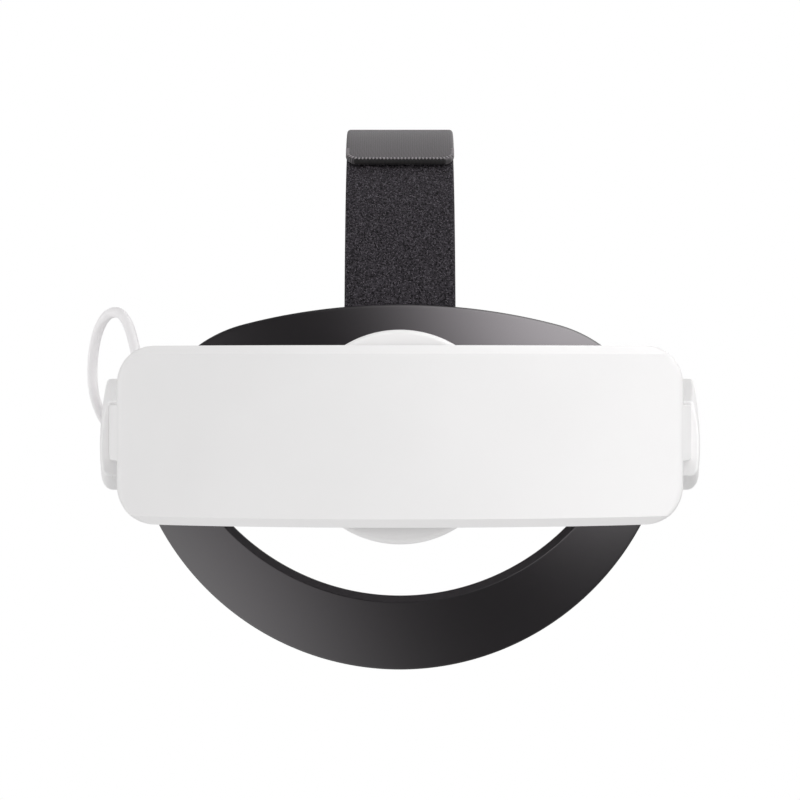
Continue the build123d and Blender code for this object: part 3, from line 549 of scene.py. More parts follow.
view = {"back": 1.033, "height": 0.01746, "lens": 147.3, "dip": 0.4376}
camera = addObject("camera", bpy.data.cameras.new("camera"))
camera.data.lens = view["lens"]
camera.data.sensor_width = 36.0
camera.data.clip_end = 40.0
camera.location = (0.0, -view["back"], view["height"])
camera.rotation_euler = (radians(90.0 - view["dip"]), 0.0, 0.0)
bpy.context.scene.camera = camera
bpy.context.scene.view_settings.view_transform = "Standard"

lights = {
    "key": {"way": (0.65, 0.1, 0.75), "away": 1.0, "size": 0.4, "power": 0.22},
    "fill": {"way": (-0.6, -0.3, -0.7), "away": 0.8, "size": 0.3, "power": 0.4},
    "rear": {"way": (0.25, -0.93, 0.2), "away": 1.0, "size": 0.4, "power": 1.55},
    "leftSide": {"way": (-0.9, 0.42, 0.1), "away": 0.9, "size": 0.4, "power": 1.7},
    "rightSide": {"way": (0.95, 0.3, -0.05), "away": 0.9, "size": 0.4, "power": 0.15},
}
for name, light in lights.items():
    lamp = bpy.data.lights.new(name, "AREA")
    lamp.shape = "SQUARE"
    lamp.size = light["size"]
    lamp.energy = light["power"]
    holder = addObject(name, lamp)
    way = Vector(light["way"]).normalized()
    holder.location = way * light["away"]
    holder.rotation_euler = way.to_track_quat("Z", "Y").to_euler()
    holder.visible_camera = False
    holder.visible_glossy = False

# The room is even for matt surfaces. Glossy ones see a bright panel up on the right, and a
# dimmer one low on the left.
room = {
    "level": 0.82, "lean": (0.11, -0.03, 0.03), "gloss": 0.12, "spread": 3.0,
    "panels": (((0.78, -0.25, 0.57), 9.0), ((-0.8, 0.0, -0.6), 2.0)),
}
bpy.context.scene.world = bpy.data.worlds.new("room")
sky = Surface(bpy.context.scene.world)
glossy = sky.node("LightPath", output="Is Glossy Ray")
direct = glossy.output("Is Camera Ray").most(glossy.output("Is Transmission Ray"))
outward = sky.node("TexCoord", output="Generated")


def toward(way):
    return sky.node("VectorMath", {"operation": "DOT_PRODUCT"}, {0: outward, 1: way}, 1)


even = room["level"] + toward(room["lean"])
panels = room["gloss"]
for way, strong in room["panels"]:
    lobe = toward(Vector(way).normalized()).most(0.0) ** room["spread"]
    panels = lobe * strong + panels
strength = even + (panels - even) * glossy
strength = strength + (1.0 - strength) * direct
sky.node("OutputWorld", None, {
    "Surface": sky.node("Background", None, {"Color": (1, 1, 1), "Strength": strength})})

# Pale paper that fades into the white backdrop far off
paper = {"half": 6.0, "level": -0.36, "clear": 1.3, "fade": 1.3}
half, level = paper["half"], paper["level"]
floor = addObject("floor", bpy.data.meshes.new("floor"))
floor.data.from_pydata([(-half, -half, level), (half, -half, level), (half, half, level),
                        (-half, half, level)], [], [(0, 1, 2, 3)])
s = newSurface("paper")
pale = s.mix(s.noise(s.place(), 40.0, 3.0), (0.78, 0.78, 0.78), (0.82, 0.82, 0.82))
ray = s.node("LightPath")
farOff = ((ray.output("Ray Length") - paper["clear"]) / paper["fade"]).most(0.0).least(1.0)
s.node("OutputMaterial", None, {"Surface": s.node("MixShader", None, {
    0: ray.output("Is Camera Ray") * farOff, 1: s.node("BsdfDiffuse", None, {"Color": pale}),
    2: s.node("Emission", None, {"Color": (1, 1, 1), "Strength": 1.0})})})
floor.data.materials.append(s.owner)
floor.visible_glossy = False
print("camera and light set")

pack = {
    "rear": 132.95, "parting": 120.95, "low": -24.7, "high": 25.7, "halfWidth": 80.5,
    "corner": 11.0, "chamfer": 2.4, "endRound": 6.5, "longRound": 1.5, "wall": 2.2, "seam": 0.3,
    "portTurn": 13.0, "portWidth": 9.2, "portHeight": 3.5, "lightTurn": 20.0, "lightRadius": 1.15,
}


def packRows():
    # Distances from the long edge down to the middle, following the corner's arc
    corner = pack["corner"]
    rows = [corner * (1 - sin(a)) for a in spread(pi / 2, 0, 18)]
    rows = [row for row in rows if abs(row - pack["chamfer"]) > 0.25] + [pack["chamfer"]]
    return sorted(rows + spread(corner, (pack["high"] - pack["low"]) / 2, 4)[1:])


def packPlan(fromLong):
    # Rear outline of the pack at one height, from its right end wall to its left one
    corner = pack["corner"]
    bite = max(0.0, corner - fromLong)
    end = pack["halfWidth"] - corner + sqrt(corner**2 - bite**2)
    share = min(1.0, fromLong / corner) ** 0.5
    radius = pack["longRound"] + (pack["endRound"] - pack["longRound"]) * share
    rear = pack["rear"] - max(0.0, pack["chamfer"] - fromLong)
    x, y = end - radius, -sqrt((rear - radius) ** 2 - (end - radius) ** 2)
    stop = atan2(y, x)
    right = [(x + radius * cos(a), y + radius * sin(a)) for a in spread(0, stop, 10)]
    half = pi / 2 + stop
    middle = [(rear * sin(a), -rear * cos(a)) for a in spread(half, -half, 64)[1:-1]]
    return right + middle + [(-x, y) for x, y in reversed(right)]


def packRearCover():
    upper = packRows()
    high, low = pack["high"], pack["low"]
    levels = [high - row for row in upper] + [low + row for row in upper[-2::-1]]
    grid = [[(x, y, z) for x, y in packPlan(min(high - z, z - low))] for z in levels]
    wide, tall = len(grid[0]), len(grid)
    points = [point for row in grid for point in row]
    faces = [(j * wide + i, j * wide + i + 1, (j + 1) * wide + i + 1, (j + 1) * wide + i)
             for j in range(tall - 1) for i in range(wide - 1)]
    rim = [*range(wide), *range(2 * wide - 1, tall * wide, wide),
           *range(tall * wide - 2, (tall - 1) * wide - 1, -1), *range((tall - 2) * wide, 0, -wide)]
    before, centre = rim, (high + low) / 2
    # the walls run forward to the parting line, and turn in there over the seam
    for share, inset in ((0.4, 0.0), (0.8, 0.0), (1.0, 0.0), (1.0, pack["seam"])):
        here = [len(points) + k for k in range(len(rim))]
        for x, y, z in [points[k] for k in rim]:
            near = -sqrt((pack["parting"] + pack["seam"] * (inset == 0)) ** 2 - x * x)
            points.append((x * (1 - inset / 80), y + (near - y) * share,
                           z + (centre - z) * inset / 25))
        faces += zip(before, before[1:] + before[:1], here[1:] + here[:1], here)
        before = here
    cover = makeMesh("packRearCover", points, faces)
    thick = cover.modifiers.new("wall", "SOLIDIFY")
    thick.thickness = pack["wall"] * mm
    thick.offset = -1.0
    thick.use_even_offset = True
    return applyAll(cover)


def circleLoop(radius, count):
    return [(radius * cos(a), radius * sin(a)) for a in spread(0, 2 * pi, count)[:-1]]


def slotLoop(width, height, steps=10):
    # Stadium outline about its own middle
    flat, radius = (width - height) / 2, height / 2
    return [(side * (flat + radius * cos(a)), side * radius * sin(a))
            for side in (1, -1) for a in spread(-pi / 2, pi / 2, steps)]


def roundedLoop(width, height, corner, steps=5):
    loop = []
    for k, (sx, sy) in enumerate(((1, 1), (-1, 1), (-1, -1), (1, -1))):
        loop += [(sx * (width / 2 - corner) + corner * cos(a),
                  sy * (height / 2 - corner) + corner * sin(a))
                 for a in spread(pi / 2 * k, pi / 2 * (k + 1), steps)]
    return loop


def underCutter(turn, loop):
    # Upright cutter through the pack's underside
    turn = radians(turn)
    radius = (pack["parting"] + pack["rear"] - pack["wall"]) / 2
    across, out = Vector((cos(turn), sin(turn), 0)), Vector((sin(turn), -cos(turn), 0))
    return tube("cutter", [[tuple(out * (radius - b) + across * a + Vector((0, 0, z)))
                            for a, b in loop]
                           for z in (pack["low"] - 2, pack["low"] + pack["wall"] + 2)])


packRear = packRearCover()
cutAway(packRear,
        underCutter(pack["portTurn"], slotLoop(pack["portWidth"], pack["portHeight"])),
        underCutter(pack["lightTurn"], circleLoop(pack["lightRadius"], 24)))
finishPiece(evenShading(packRear, 24), "rear_unit", "white_plastic", ["pack_rear_cover"])
smoothCopy("packFrontCover", "pack_front_cover", "rear_unit", "white_plastic")
print("pack made")

# The ring that cups the head, and its window
ring = {
    "bottom": -69.9, "lowRadius": 83.1, "cornerRadius": 41.2, "cornerTurn": 30.0, "crown": 4.45,
    "inner": 89.5, "outer": 92.5, "edgeRound": 0.8, "shift": 7.5, "middle": -14.0, "steps": 288,
}
window = {
    "bottom": -46.9, "lowRadius": 70.1, "cornerRadius": 24.0, "cornerTurn": 45.0, "crown": 4.4,
    "bevel": 2.0,
}


def onBarrel(waist, x, z):
    # Point on a barrel about the head, with this radius at mid height
    radius = sqrt((waist + ring["shift"]) ** 2 - z * z) - ring["shift"]
    return (x, -sqrt(radius**2 - x * x), z)


def barrelLoop(rim, waist):
    return [onBarrel(waist, x, z) for x, z in rim]


def eggRim(egg, grow):
    # Outline of four tangent arcs, as (x, z) at even turns about the ring's middle
    lowRadius, corner, lean = egg["lowRadius"], egg["cornerRadius"], radians(egg["cornerTurn"])
    low = egg["bottom"] + lowRadius
    sideX, sideZ = (lowRadius - corner) * cos(lean), low - (lowRadius - corner) * sin(lean)
    rise = corner + egg["crown"]
    topRadius = (sideX**2 + rise**2 - corner**2) / (2 * (rise - corner))
    topTurn = atan2(sideX, topRadius - rise)
    start, end = pi / 2 - topTurn, pi / 2 + topTurn
    arcs = ((sideX, sideZ, corner, -lean, start),
            (0, sideZ + rise - topRadius, topRadius, start, end),
            (-sideX, sideZ, corner, end, pi + lean),
            (0, low, lowRadius, pi + lean, 2 * pi - lean))
    polar = []
    for x, z, radius, start, end in arcs:
        for turn in spread(start, end, 240)[:-1]:
            across = x + (radius + grow) * cos(turn)
            up = z + (radius + grow) * sin(turn) - ring["middle"]
            polar.append((atan2(up, across) % (2 * pi), hypot(across, up)))
    polar.sort()
    polar = [(polar[-1][0] - 2 * pi, polar[-1][1]), *polar, (polar[0][0] + 2 * pi, polar[0][1])]
    rim, k = [], 0
    for step in range(ring["steps"]):
        turn = 2 * pi * (step + 0.5) / ring["steps"]
        while polar[k + 1][0] < turn:
            k += 1
        (a, near), (b, far) = polar[k], polar[k + 1]
        reach = near + (far - near) * (turn - a) / (b - a)
        rim.append((reach * cos(turn), ring["middle"] + reach * sin(turn)))
    return rim


def between(rimA, rimB, share):
    return [(a[0] + (b[0] - a[0]) * share, a[1] + (b[1] - a[1]) * share)
            for a, b in zip(rimA, rimB)]


def bridge(rimA, rimB, waist):
    # Loops over the ring's face from one rim to the other
    return [barrelLoop(between(rimA, rimB, share), waist) for share in spread(0, 1, 14)[1:-1]]


inner, outer, edge, bevel = ring["inner"], ring["outer"], ring["edgeRound"], window["bevel"]
outsideRows = [(-0.3, inner), (0.0, inner + 0.3), (0.0, outer - edge - 0.4)]
outsideRows += [(-edge * (1 - cos(a)), outer - edge * (1 - sin(a))) for a in spread(0, pi / 2, 5)]
windowRows = ((bevel + 0.15, outer), (bevel - 0.1, outer - 0.1), (0.1, outer - bevel + 0.1),
              (0.0, outer - bevel - 0.12), (0.0, inner + 0.25), (0.25, inner))
ringLoops = [barrelLoop(eggRim(ring, grow), waist) for grow, waist in outsideRows]
ringLoops += bridge(eggRim(ring, -edge), eggRim(window, bevel), outer)
ringLoops += [barrelLoop(eggRim(window, grow), waist) for grow, waist in windowRows]
ringLoops += bridge(eggRim(window, 0.25), eggRim(ring, -0.3), inner)
cradle = makeMesh("headRing", *joinLoops(ringLoops, True))

strapSeat = {"y": -83.94424, "z": 30.0, "lean": 18.0, "width": 32.9, "thickness": 2.2,
             "tail": 7.0, "top": 26.0, "reach": 8.0}
leanY, leanZ = sin(radians(strapSeat["lean"])), cos(radians(strapSeat["lean"]))
half, tail = strapSeat["width"] / 2, strapSeat["tail"]
# x runs across the seat, up along the strap, and out forward from the strap's middle
cutAway(cradle, tube("cutter", [
    [(x, strapSeat["y"] + up * leanY + out * leanZ, strapSeat["z"] + up * leanZ - out * leanY)
     for x, up in ((-half, -tail), (half, -tail), (half, strapSeat["top"]),
                   (-half, strapSeat["top"]))]
    for out in (-strapSeat["thickness"] / 2, strapSeat["reach"])]))
finishPiece(evenShading(cradle, 20), "rear_unit", "ring_plastic", ["cradle"])

# Head pad: a C of knitted foam, open where the strap comes out. Its rows are (rim, depth).
pad = {"inset": 4.0, "gap": 17.15, "swell": 0.35, "endRound": 0.35, "endDepth": 0.45}
rolledEdge = ((0.05, 0.0), (0.0, 0.35), (0.12, 0.85), (0.45, 1.2), (1.1, 1.42), (2.2, 1.52))
rollWidth, padDepth = rolledEdge[-1]
padRows = [(eggRim(ring, -pad["inset"] - inset), depth) for inset, depth in rolledEdge]
outerFlat = eggRim(ring, -pad["inset"] - rollWidth)
innerFlat = eggRim(window, pad["inset"] + rollWidth)
padRows += [(between(outerFlat, innerFlat, share), padDepth + pad["swell"] * sin(pi * share) ** 2)
            for share in spread(0, 1, 12)[1:-1]]
padRows += [(eggRim(window, pad["inset"] + inset), depth) for inset, depth in reversed(rolledEdge)]
fromRim, toRim = eggRim(window, pad["inset"] + 0.05), eggRim(ring, -pad["inset"] - 0.05)
padRows += [(between(fromRim, toRim, share), 0.0) for share in spread(0, 1, 9)[1:-1]]

steps, gap = ring["steps"], pad["gap"]
windowRim = eggRim(window, pad["inset"])
last = next(k for k in range(steps) if windowRim[k][0] < gap) - 1
columns = [[(*rim[k % steps], depth) for rim, depth in padRows]
           for k in range(steps // 2 - last - 1, steps + last + 1)]


def squareEnd(column, x, share=1.0):
    # The pad is cut square beside the strap, and its ends are rolled over
    return [(x, z, depth * share) for _, z, depth in column]


leftEnd, rightEnd = columns[0], columns[-1]
columns = [squareEnd(leftEnd, pad["endRound"] - gap, pad["endDepth"]), squareEnd(leftEnd, -gap),
           *columns[1:-1], squareEnd(rightEnd, gap),
           squareEnd(rightEnd, gap - pad["endRound"], pad["endDepth"])]
headPad = tube("headPad", [[onBarrel(inner - depth, x, z) for x, z, depth in column]
                           for column in columns])
finishPiece(smooth(headPad), "rear_unit", "pad_rubber", ["head_pad"])
print("ring and pad made")

wheel = {
    "radius": 30.2, "front": -104.25, "rear": -113.85, "round": 1.4, "wall": 2.8, "web": 4.2,
    "sleeve": 9.0, "bore": 6.0, "axle": 2.05, "headSeat": -111.7, "headRadius": 4.55, "ribs": 8,
    "ribWidth": 1.6, "ribSetback": 2.0, "ribRoot": 0.4, "edge": 0.3,
}
webFront = wheel["rear"] + wheel["web"]
rimInside = wheel["radius"] - wheel["wall"]


def arc(x, y, radius, start, end, steps=2):
    return [(x + radius * cos(a), y + radius * sin(a))
            for a in spread(radians(start), radians(end), steps)]


soften, edge = wheel["round"], wheel["edge"]
fitWheel = lathe("fitWheel", [
    (wheel["axle"], webFront), (wheel["bore"], webFront), (wheel["bore"], wheel["front"]),
    *arc(wheel["sleeve"] - edge, wheel["front"] - edge, edge, 90, 0),
    (wheel["sleeve"], webFront), (rimInside, webFront),
    *arc(rimInside + edge, wheel["front"] - edge, edge, 180, 90),
    *arc(wheel["radius"] - soften, wheel["front"] - soften, soften, 90, 0, 6),
    *arc(wheel["radius"] - soften, wheel["rear"] + soften, soften, 0, -90, 6),
    *arc(wheel["headRadius"] + edge, wheel["rear"] + edge, edge, 270, 180),
    (wheel["headRadius"], wheel["headSeat"]), (wheel["axle"], wheel["headSeat"])], 160)
finishPiece(evenShading(fitWheel, 30), "wheel", "white_plastic", ["fit_wheel"])

ribRoot = wheel["ribRoot"]
spokeLength = rimInside - wheel["sleeve"] + 2 * ribRoot
spokeDepth = wheel["front"] - wheel["ribSetback"] - webFront + ribRoot
ribTree = Tree("wheelRibs", {
    "Count": wheel["ribs"], "Middle": (wheel["sleeve"] + rimInside) / 2 * mm,
    "Length": spokeLength * mm, "Width": wheel["ribWidth"] * mm, "Depth": spokeDepth * mm,
    "Along": (webFront - ribRoot + spokeDepth / 2) * mm})
circle = ribTree.node("GeometryNodeMeshCircle", None, {"Vertices": "Count", "Radius": "Middle"})
rib = ribTree.node("GeometryNodeMeshCube", None, {
    "Size": ribTree.vector("Length", "Width", "Depth")})
facing = ribTree.aim("X", ribTree.node("GeometryNodeInputPosition"))
ribTree.end(ribTree.move(ribTree.copies(circle, rib, facing), Rotation=(pi / 2, 0, 0),
                         Translation=ribTree.vector(0.0, "Along")), finishes["white_plastic"])
wheelRibs = makeMesh("wheelRibs", [(0, 0, 0)], closed=False)
finishPiece(ribTree.run(wheelRibs), "wheel", "white_plastic")
print("wheel made")

arm = {
    "rearY": -28.0, "frontY": 57.0, "bendY": 33.0, "rearX": 91.8, "frontX": 97.1, "bow": 1.3,
    "rearThickness": 6.4, "frontThickness": 11.2, "rearTop": 9.5, "rearLow": -13.5,
    "frontTop": 16.2, "frontLow": -19.9, "lean": 1.9, "belly": 0.62, "topRound": 1.2,
    "lowRound": 3.2, "share": 0.55, "seam": 0.12, "endRound": 0.7, "screwY": -2.0,
    "screwSpacing": 24.0, "screwWell": 2.5, "grip": 18.0,
}
socket = {"x": 91.9, "z": -2.05, "width": 5.0, "height": 20.0, "depth": 25.0, "lining": 0.8,
          "corner": 1.6}


def armAt(y):
    # Outer face, thickness, top, low edge and parting line at one place along the arm
    share = min(1.0, (y - arm["rearY"]) / (arm["bendY"] - arm["rearY"]))
    face = arm["rearX"] + (arm["frontX"] - arm["rearX"]) * (1 - (1 - share) ** arm["bow"])
    thick, top, low = (arm["rear" + part] + (arm["front" + part] - arm["rear" + part]) * share
                       for part in ("Thickness", "Top", "Low"))
    return face, thick, top, low, face - arm["share"] * thick


def cornerArc(corner, toward, away, radius, steps):
    # Round between the two straight lines that meet at corner
    corner, toward, away = Vector(corner), Vector(toward), Vector(away)
    one, two = (toward - corner).normalized(), (away - corner).normalized()
    half = one.angle(two) / 2
    reach = radius / tan(half)
    centre = corner + (one + two).normalized() * (radius / sin(half))
    start, end = corner + one * reach - centre, corner + two * reach - centre
    turn = atan2(start.x * end.y - start.y * end.x, start.dot(end))
    return [(centre.x + start.x * cos(a) - start.y * sin(a),
             centre.y + start.x * sin(a) + start.y * cos(a)) for a in spread(0, turn, steps)]


def outerShellLoop(y):
    face, thick, top, low, parting = armAt(y)
    seam, topRound = arm["seam"], arm["topRound"]
    belly = top - arm["belly"] * (top - low)
    lowX, topX = face - 0.4 * arm["lean"], face - arm["lean"]
    # the bowed face is the circle through its low corner, belly and top corner
    ax, ay, bx, by = lowX - face, low - belly, topX - face, top - belly
    d = 2 * (ax * by - ay * bx)
    cx = (by * (ax * ax + ay * ay) - ay * (bx * bx + by * by)) / d
    cy = (ax * (bx * bx + by * by) - bx * (ax * ax + ay * ay)) / d
    radius = hypot(cx, cy)

    def bowed(z):
        return (face + cx + sqrt(radius**2 - (z - cy - belly) ** 2), z)

    lowRound = min(arm["lowRound"], 0.9 * (lowX - parting - seam))
    loop = [(parting + seam, low)]
    loop += cornerArc((lowX, low), (parting, low), bowed(low + 5), lowRound, 7)
    loop += [bowed(z) for z in spread(low + lowRound * 1.35, top - topRound * 1.35, 9)]
    loop += cornerArc((topX, top), bowed(top - 3), (parting, top), topRound, 5)
    return loop + [(parting + seam, top), (parting, top - seam), (parting, low + seam)]


def innerShellLoop(y):
    face, thick, top, low, parting = armAt(y)
    inside, seam, topRound = face - thick, arm["seam"], arm["topRound"]
    loop = [(parting, low + seam), (parting, top - seam), (parting - seam, top)]
    loop += cornerArc((inside, top), (parting, top), (inside, low), topRound, 5)
    loop += [(inside, z) for z in spread(top, low, 6)[1:-1]]
    loop += cornerArc((inside, low), (inside, top), (parting, low), topRound, 5)
    return loop + [(parting - seam, low)]


def shrink(loop, amount, keepX):
    # Loop moved inwards by amount. Points on keepX keep their x.
    after, before = loop[1:] + loop[:1], loop[-1:] + loop[:-1]
    area = sum(a[0] * b[1] - b[0] * a[1] for a, b in zip(loop, after))
    amount = amount if area > 0 else -amount
    moved = []
    for one, (x, z), two in zip(before, loop, after):
        way = (Vector(two) - Vector(one)).normalized()
        moved.append((x - way.y * amount * (abs(x - keepX) >= 0.3), z + way.x * amount))
    return moved


def armShell(name, loopAt, side):
    ends, rear, front = arm["endRound"], arm["rearY"], arm["frontY"]
    rounding = [(ends * (1 - cos(a)), ends * (1 - sin(a))) for a in spread(0, pi / 2, 4)]
    plain = [y for y in spread(rear + ends, front - ends, 44)[1:-1] if abs(y - arm["bendY"]) > 0.6]
    stations = [(rear + along, inset) for along, inset in rounding]
    stations += [(y, 0.0) for y in sorted(plain + [arm["bendY"]])]
    stations += [(front - along, inset) for along, inset in reversed(rounding)]
    loops = []
    for y, inset in stations:
        loop = shrink(loopAt(y), inset, armAt(y)[4]) if inset else loopAt(y)
        loops.append([(side * x, y, z) for x, z in loop])
    return tube(name, loops)


def socketCutter(side):
    lining = socket["lining"]
    loop = roundedLoop(socket["width"] + 2 * lining, socket["height"] + 2 * lining,
                       socket["corner"])
    return tube("cutter", [[(side * (socket["x"] + x), y, socket["z"] + z) for x, z in loop]
                           for y in (arm["frontY"] + 2, arm["frontY"] - socket["depth"] - lining)])


def wellCutter(side, y):
    # Bar across the arm's inner face, for a screw's head
    face, thick = armAt(y)[:2]
    z = (arm["rearTop"] + arm["rearLow"]) / 2
    start, end = (Vector((side * (face - thick + reach), y, z)) for reach in (-2, 2.1))
    one = (end - start).normalized().orthogonal().normalized()
    two = (end - start).normalized().cross(one)
    return tube("cutter", [[tuple(point + one * a + two * b)
                            for a, b in circleLoop(arm["screwWell"], 32)]
                           for point in (start, end)])


entryX = armAt(arm["rearY"])[4]
entrySlope = (armAt(arm["bendY"])[4] - entryX) / (arm["bendY"] - arm["rearY"])
blade = {"right": 98.4, "left": 96.05, "thickness": 2.0, "height": 17.0, "firstTurn": 51.8,
         "bendTurn": 53.3, "corner": 0.5, "slot": 0.16}
# the tongue ties the blade to its rack inside the housing, and turns with the rack
tongue = {"thickness": 0.7, "height": 14.0, "start": 44.5, "end": 51.5, "corner": 0.2}


def bladePath(middle):
    # Band's middle line for the right side, as (x, y, direction)
    path = []
    for a in spread(radians(blade["firstTurn"]), radians(blade["bendTurn"]), 6):
        path.append((middle * sin(a), -middle * cos(a), (cos(a), sin(a))))
    x, y, way = path[-1]
    lastX, lastY = entryX, arm["rearY"]
    long, size = hypot(lastY - y, lastX - x), hypot(entrySlope, 1)
    lastWay = (entrySlope / size, 1 / size)
    ends = ((x, long * way[0], lastX, long * lastWay[0]),
            (y, long * way[1], lastY, long * lastWay[1]))
    for t in spread(0, 1, 24)[1:]:
        # shares of the two ends and their directions, for the place and for its slope
        spot = (2 * t**3 - 3 * t**2 + 1, t**3 - 2 * t**2 + t, 3 * t**2 - 2 * t**3, t**3 - t**2)
        slope = (6 * t**2 - 6 * t, 3 * t**2 - 4 * t + 1, 6 * t - 6 * t**2, 3 * t**2 - 2 * t)
        x, y, dx, dy = (sum(w * p for w, p in zip(weights, line))
                        for weights in (spot, slope) for line in ends)
        path.append((x, y, (dx / hypot(dx, dy), dy / hypot(dx, dy))))
    for reach in spread(0, arm["grip"], 3)[1:]:
        path.append((lastX + entrySlope * reach, lastY + reach, lastWay))
    return path


def makeBlade(name, middle, side):
    section = roundedLoop(blade["thickness"], blade["height"], blade["corner"], 3)
    return evenShading(tube(name, [
        [(side * (x + way[1] * a), y - way[0] * a, z) for a, z in section]
        for x, y, way in bladePath(middle)]), 35)


def makeTongue(name, middle, side):
    section = roundedLoop(tongue["thickness"], tongue["height"], tongue["corner"], 2)
    return smooth(tube(name, [
        [(side * (middle + a) * sin(turn), -(middle + a) * cos(turn), z) for a, z in section]
        for turn in spread(radians(tongue["start"]), radians(tongue["end"]), 8)]), 35)


def bladeSlot(side):
    # Clear slot round the blade where it enters the arm
    section = roundedLoop(blade["thickness"] + blade["slot"], blade["height"] + blade["slot"],
                          0.55, 3)
    return tube("cutter", [[(side * (entryX + entrySlope * reach + a), arm["rearY"] + reach, z)
                            for a, z in section] for reach in (-2.0, 1.6)])


for sideName, side in (("right", 1), ("left", -1)):
    body, middle = sideName + "_arm", blade[sideName]
    outerShell = armShell(sideName + "ArmOuter", outerShellLoop, side)
    cutAway(outerShell, socketCutter(side), bladeSlot(side))
    finishPiece(evenShading(outerShell, 26), body, "white_plastic", [body + "_outer"], armPlastic)
    innerShell = armShell(sideName + "ArmInner", innerShellLoop, side)
    cutAway(innerShell, socketCutter(side), bladeSlot(side), wellCutter(side, arm["screwY"]),
            wellCutter(side, arm["screwY"] + arm["screwSpacing"]))
    finishPiece(evenShading(innerShell, 26), body, "white_plastic", [body + "_inner"], armPlastic)
    band = makeBlade(sideName + "Blade", middle, side)
    first = bladePath(middle)[0]
    side * first[0] * mm
    first[1] * mm
    side * entryX * mm
    arm["rearY"] * mm
    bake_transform(band)
    band.data.materials.append(finishes["blade_plastic"])
    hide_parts(sideName + "_blade")
    finishPiece(makeTongue(sideName + "Tongue", middle, side), sideName + "_rack", "blade_plastic")
    smoothCopy(sideName + "SocketPad", sideName + "_socket_pad", body, "pad_rubber", socketLining)
print("arms made")

strap = {
    "width": 32.3, "flapWidth": 32.6, "thickness": 2.2, "edge": 1.0, "crown": 75.0, "front": 173.0,
    "drop": 24.0, "fold": 5.1, "lift": 3.3, "endTurn": -31.4, "tightTurn": -28.2, "corner": 4.0,
    # the last entry is the length of the flap's end that gets painted shade
    "leaveTurn": 10.90, "endRound": 0.9, "hem": 0.45,
}
crownCentre, frontCentre, foldCentre = (-10.143, 14.432), (-10.143, -83.568), (71.432, 75.067)
tailPoint, risePoint = (-86.107, 23.343), (-81.472, 37.608)
foldStart, flapStart = (69.358, 70.408), (72.10, 80.14)


def onArc(centre, radius, turn):
    # Point in the YZ plane, and its outward normal. turn is in degrees forward of straight up.
    a = radians(turn)
    return (centre[0] + radius * sin(a), centre[1] + radius * cos(a), sin(a), cos(a))


def curve(centre, radius, start, end, steps, side=1):
    points = [onArc(centre, radius, turn) for turn in spread(start, end, steps)[:-1]]
    return [(y, z, side * ny, side * nz) for y, z, ny, nz in points]


def straight(start, end, steps, side=1):
    way = Vector((end[0] - start[0], end[1] - start[1])).normalized() * side
    return [(start[0] + (end[0] - start[0]) * t, start[1] + (end[1] - start[1]) * t, -way.y, way.x)
            for t in spread(0, 1, steps)[:-1]]


def strapBand(name, path, halves, thickness, edge, depths):
    # Band along a path of points and normals. Its width and thickness may change on the way.
    loops = []
    for (y, z, ny, nz), half, depth in zip(path, halves, depths):
        thick = thickness * depth
        section = roundedLoop(2 * half, thick, min(edge, thick / 2 * 0.95), 4)
        flat = spread(half - edge, edge - half, 12)[1:-1]
        loop = (section[:5] + [(x, thick / 2) for x in flat] + section[5:15]
                + [(-x, -thick / 2) for x in flat] + section[15:])
        loops.append([(x, y + ny * d, z + nz * d) for x, d in loop])
    return smooth(tube(name, loops))


def evenBand(name, path, half, thickness, edge):
    return strapBand(name, path, [half] * len(path), thickness, edge, [1.0] * len(path))


# the fold's arc is walked backwards, so that its outside stays the strap's underside
strapPath = (straight(tailPoint, risePoint, 8)
             + curve(crownCentre, strap["crown"], -72.0, 0.0, 54)
             + curve(frontCentre, strap["front"], 0.0, strap["drop"], 30)
             + straight(onArc(frontCentre, strap["front"], strap["drop"]), foldStart, 5)
             + curve(foldCentre, strap["fold"], 180.0 + strap["drop"], strap["leaveTurn"], 26, -1))
topStrap = evenBand("topStrap", strapPath, strap["width"] / 2, strap["thickness"], strap["edge"])
finishPiece(topStrap, "rear_unit", "loop_pile", ["top_strap"])

# Loop pile over the strap's upper face: close where it shows, thinner under the flap
pile = {"radius": 0.24, "fibre": 0.07, "sides": 3, "steps": 4, "apart": 0.31, "density": 5.6,
        "thin": 0.16, "thinFrom": -42.0, "margin": 0.35, "sink": 0.02, "rows": 97, "seed": 7}
pileTree = Tree("loopPile", {
    "Radius": pile["radius"] * mm, "Fibre": pile["fibre"] * mm, "Apart": pile["apart"] * mm,
    "Density": pile["density"] / mm**2, "Seed": pile["seed"]})
bow = pileTree.fibre(pile["steps"], "Radius", -40, 260, pile["sides"], False)
scatter = pileTree.node("GeometryNodeDistributePointsOnFaces", {"distribute_method": "POISSON"}, {
    "Mesh": "Geometry", "Distance Min": "Apart", "Density Max": "Density",
    "Density Factor": pileTree.marked("close", "FLOAT"), "Seed": "Seed"}).node
spin = pileTree.node("FunctionNodeRandomValue", {"data_type": "FLOAT_VECTOR"}, {
    0: (-0.5, -0.5, 0.0), 1: (0.5, 0.5, 6.283), "Seed": "Seed"})
facing = pileTree.node("FunctionNodeRotateRotation", {"rotation_space": "LOCAL"}, {
    0: scatter.outputs["Rotation"],
    1: pileTree.node("FunctionNodeEulerToRotation", None, {0: spin})})
bulk = pileTree.node("FunctionNodeRandomValue", {"data_type": "FLOAT"}, {
    2: 0.7, 3: 1.25, "Seed": 3}, 1)
pileTree.end(pileTree.copies(scatter.outputs["Points"], bow, facing, bulk), loopFibre)

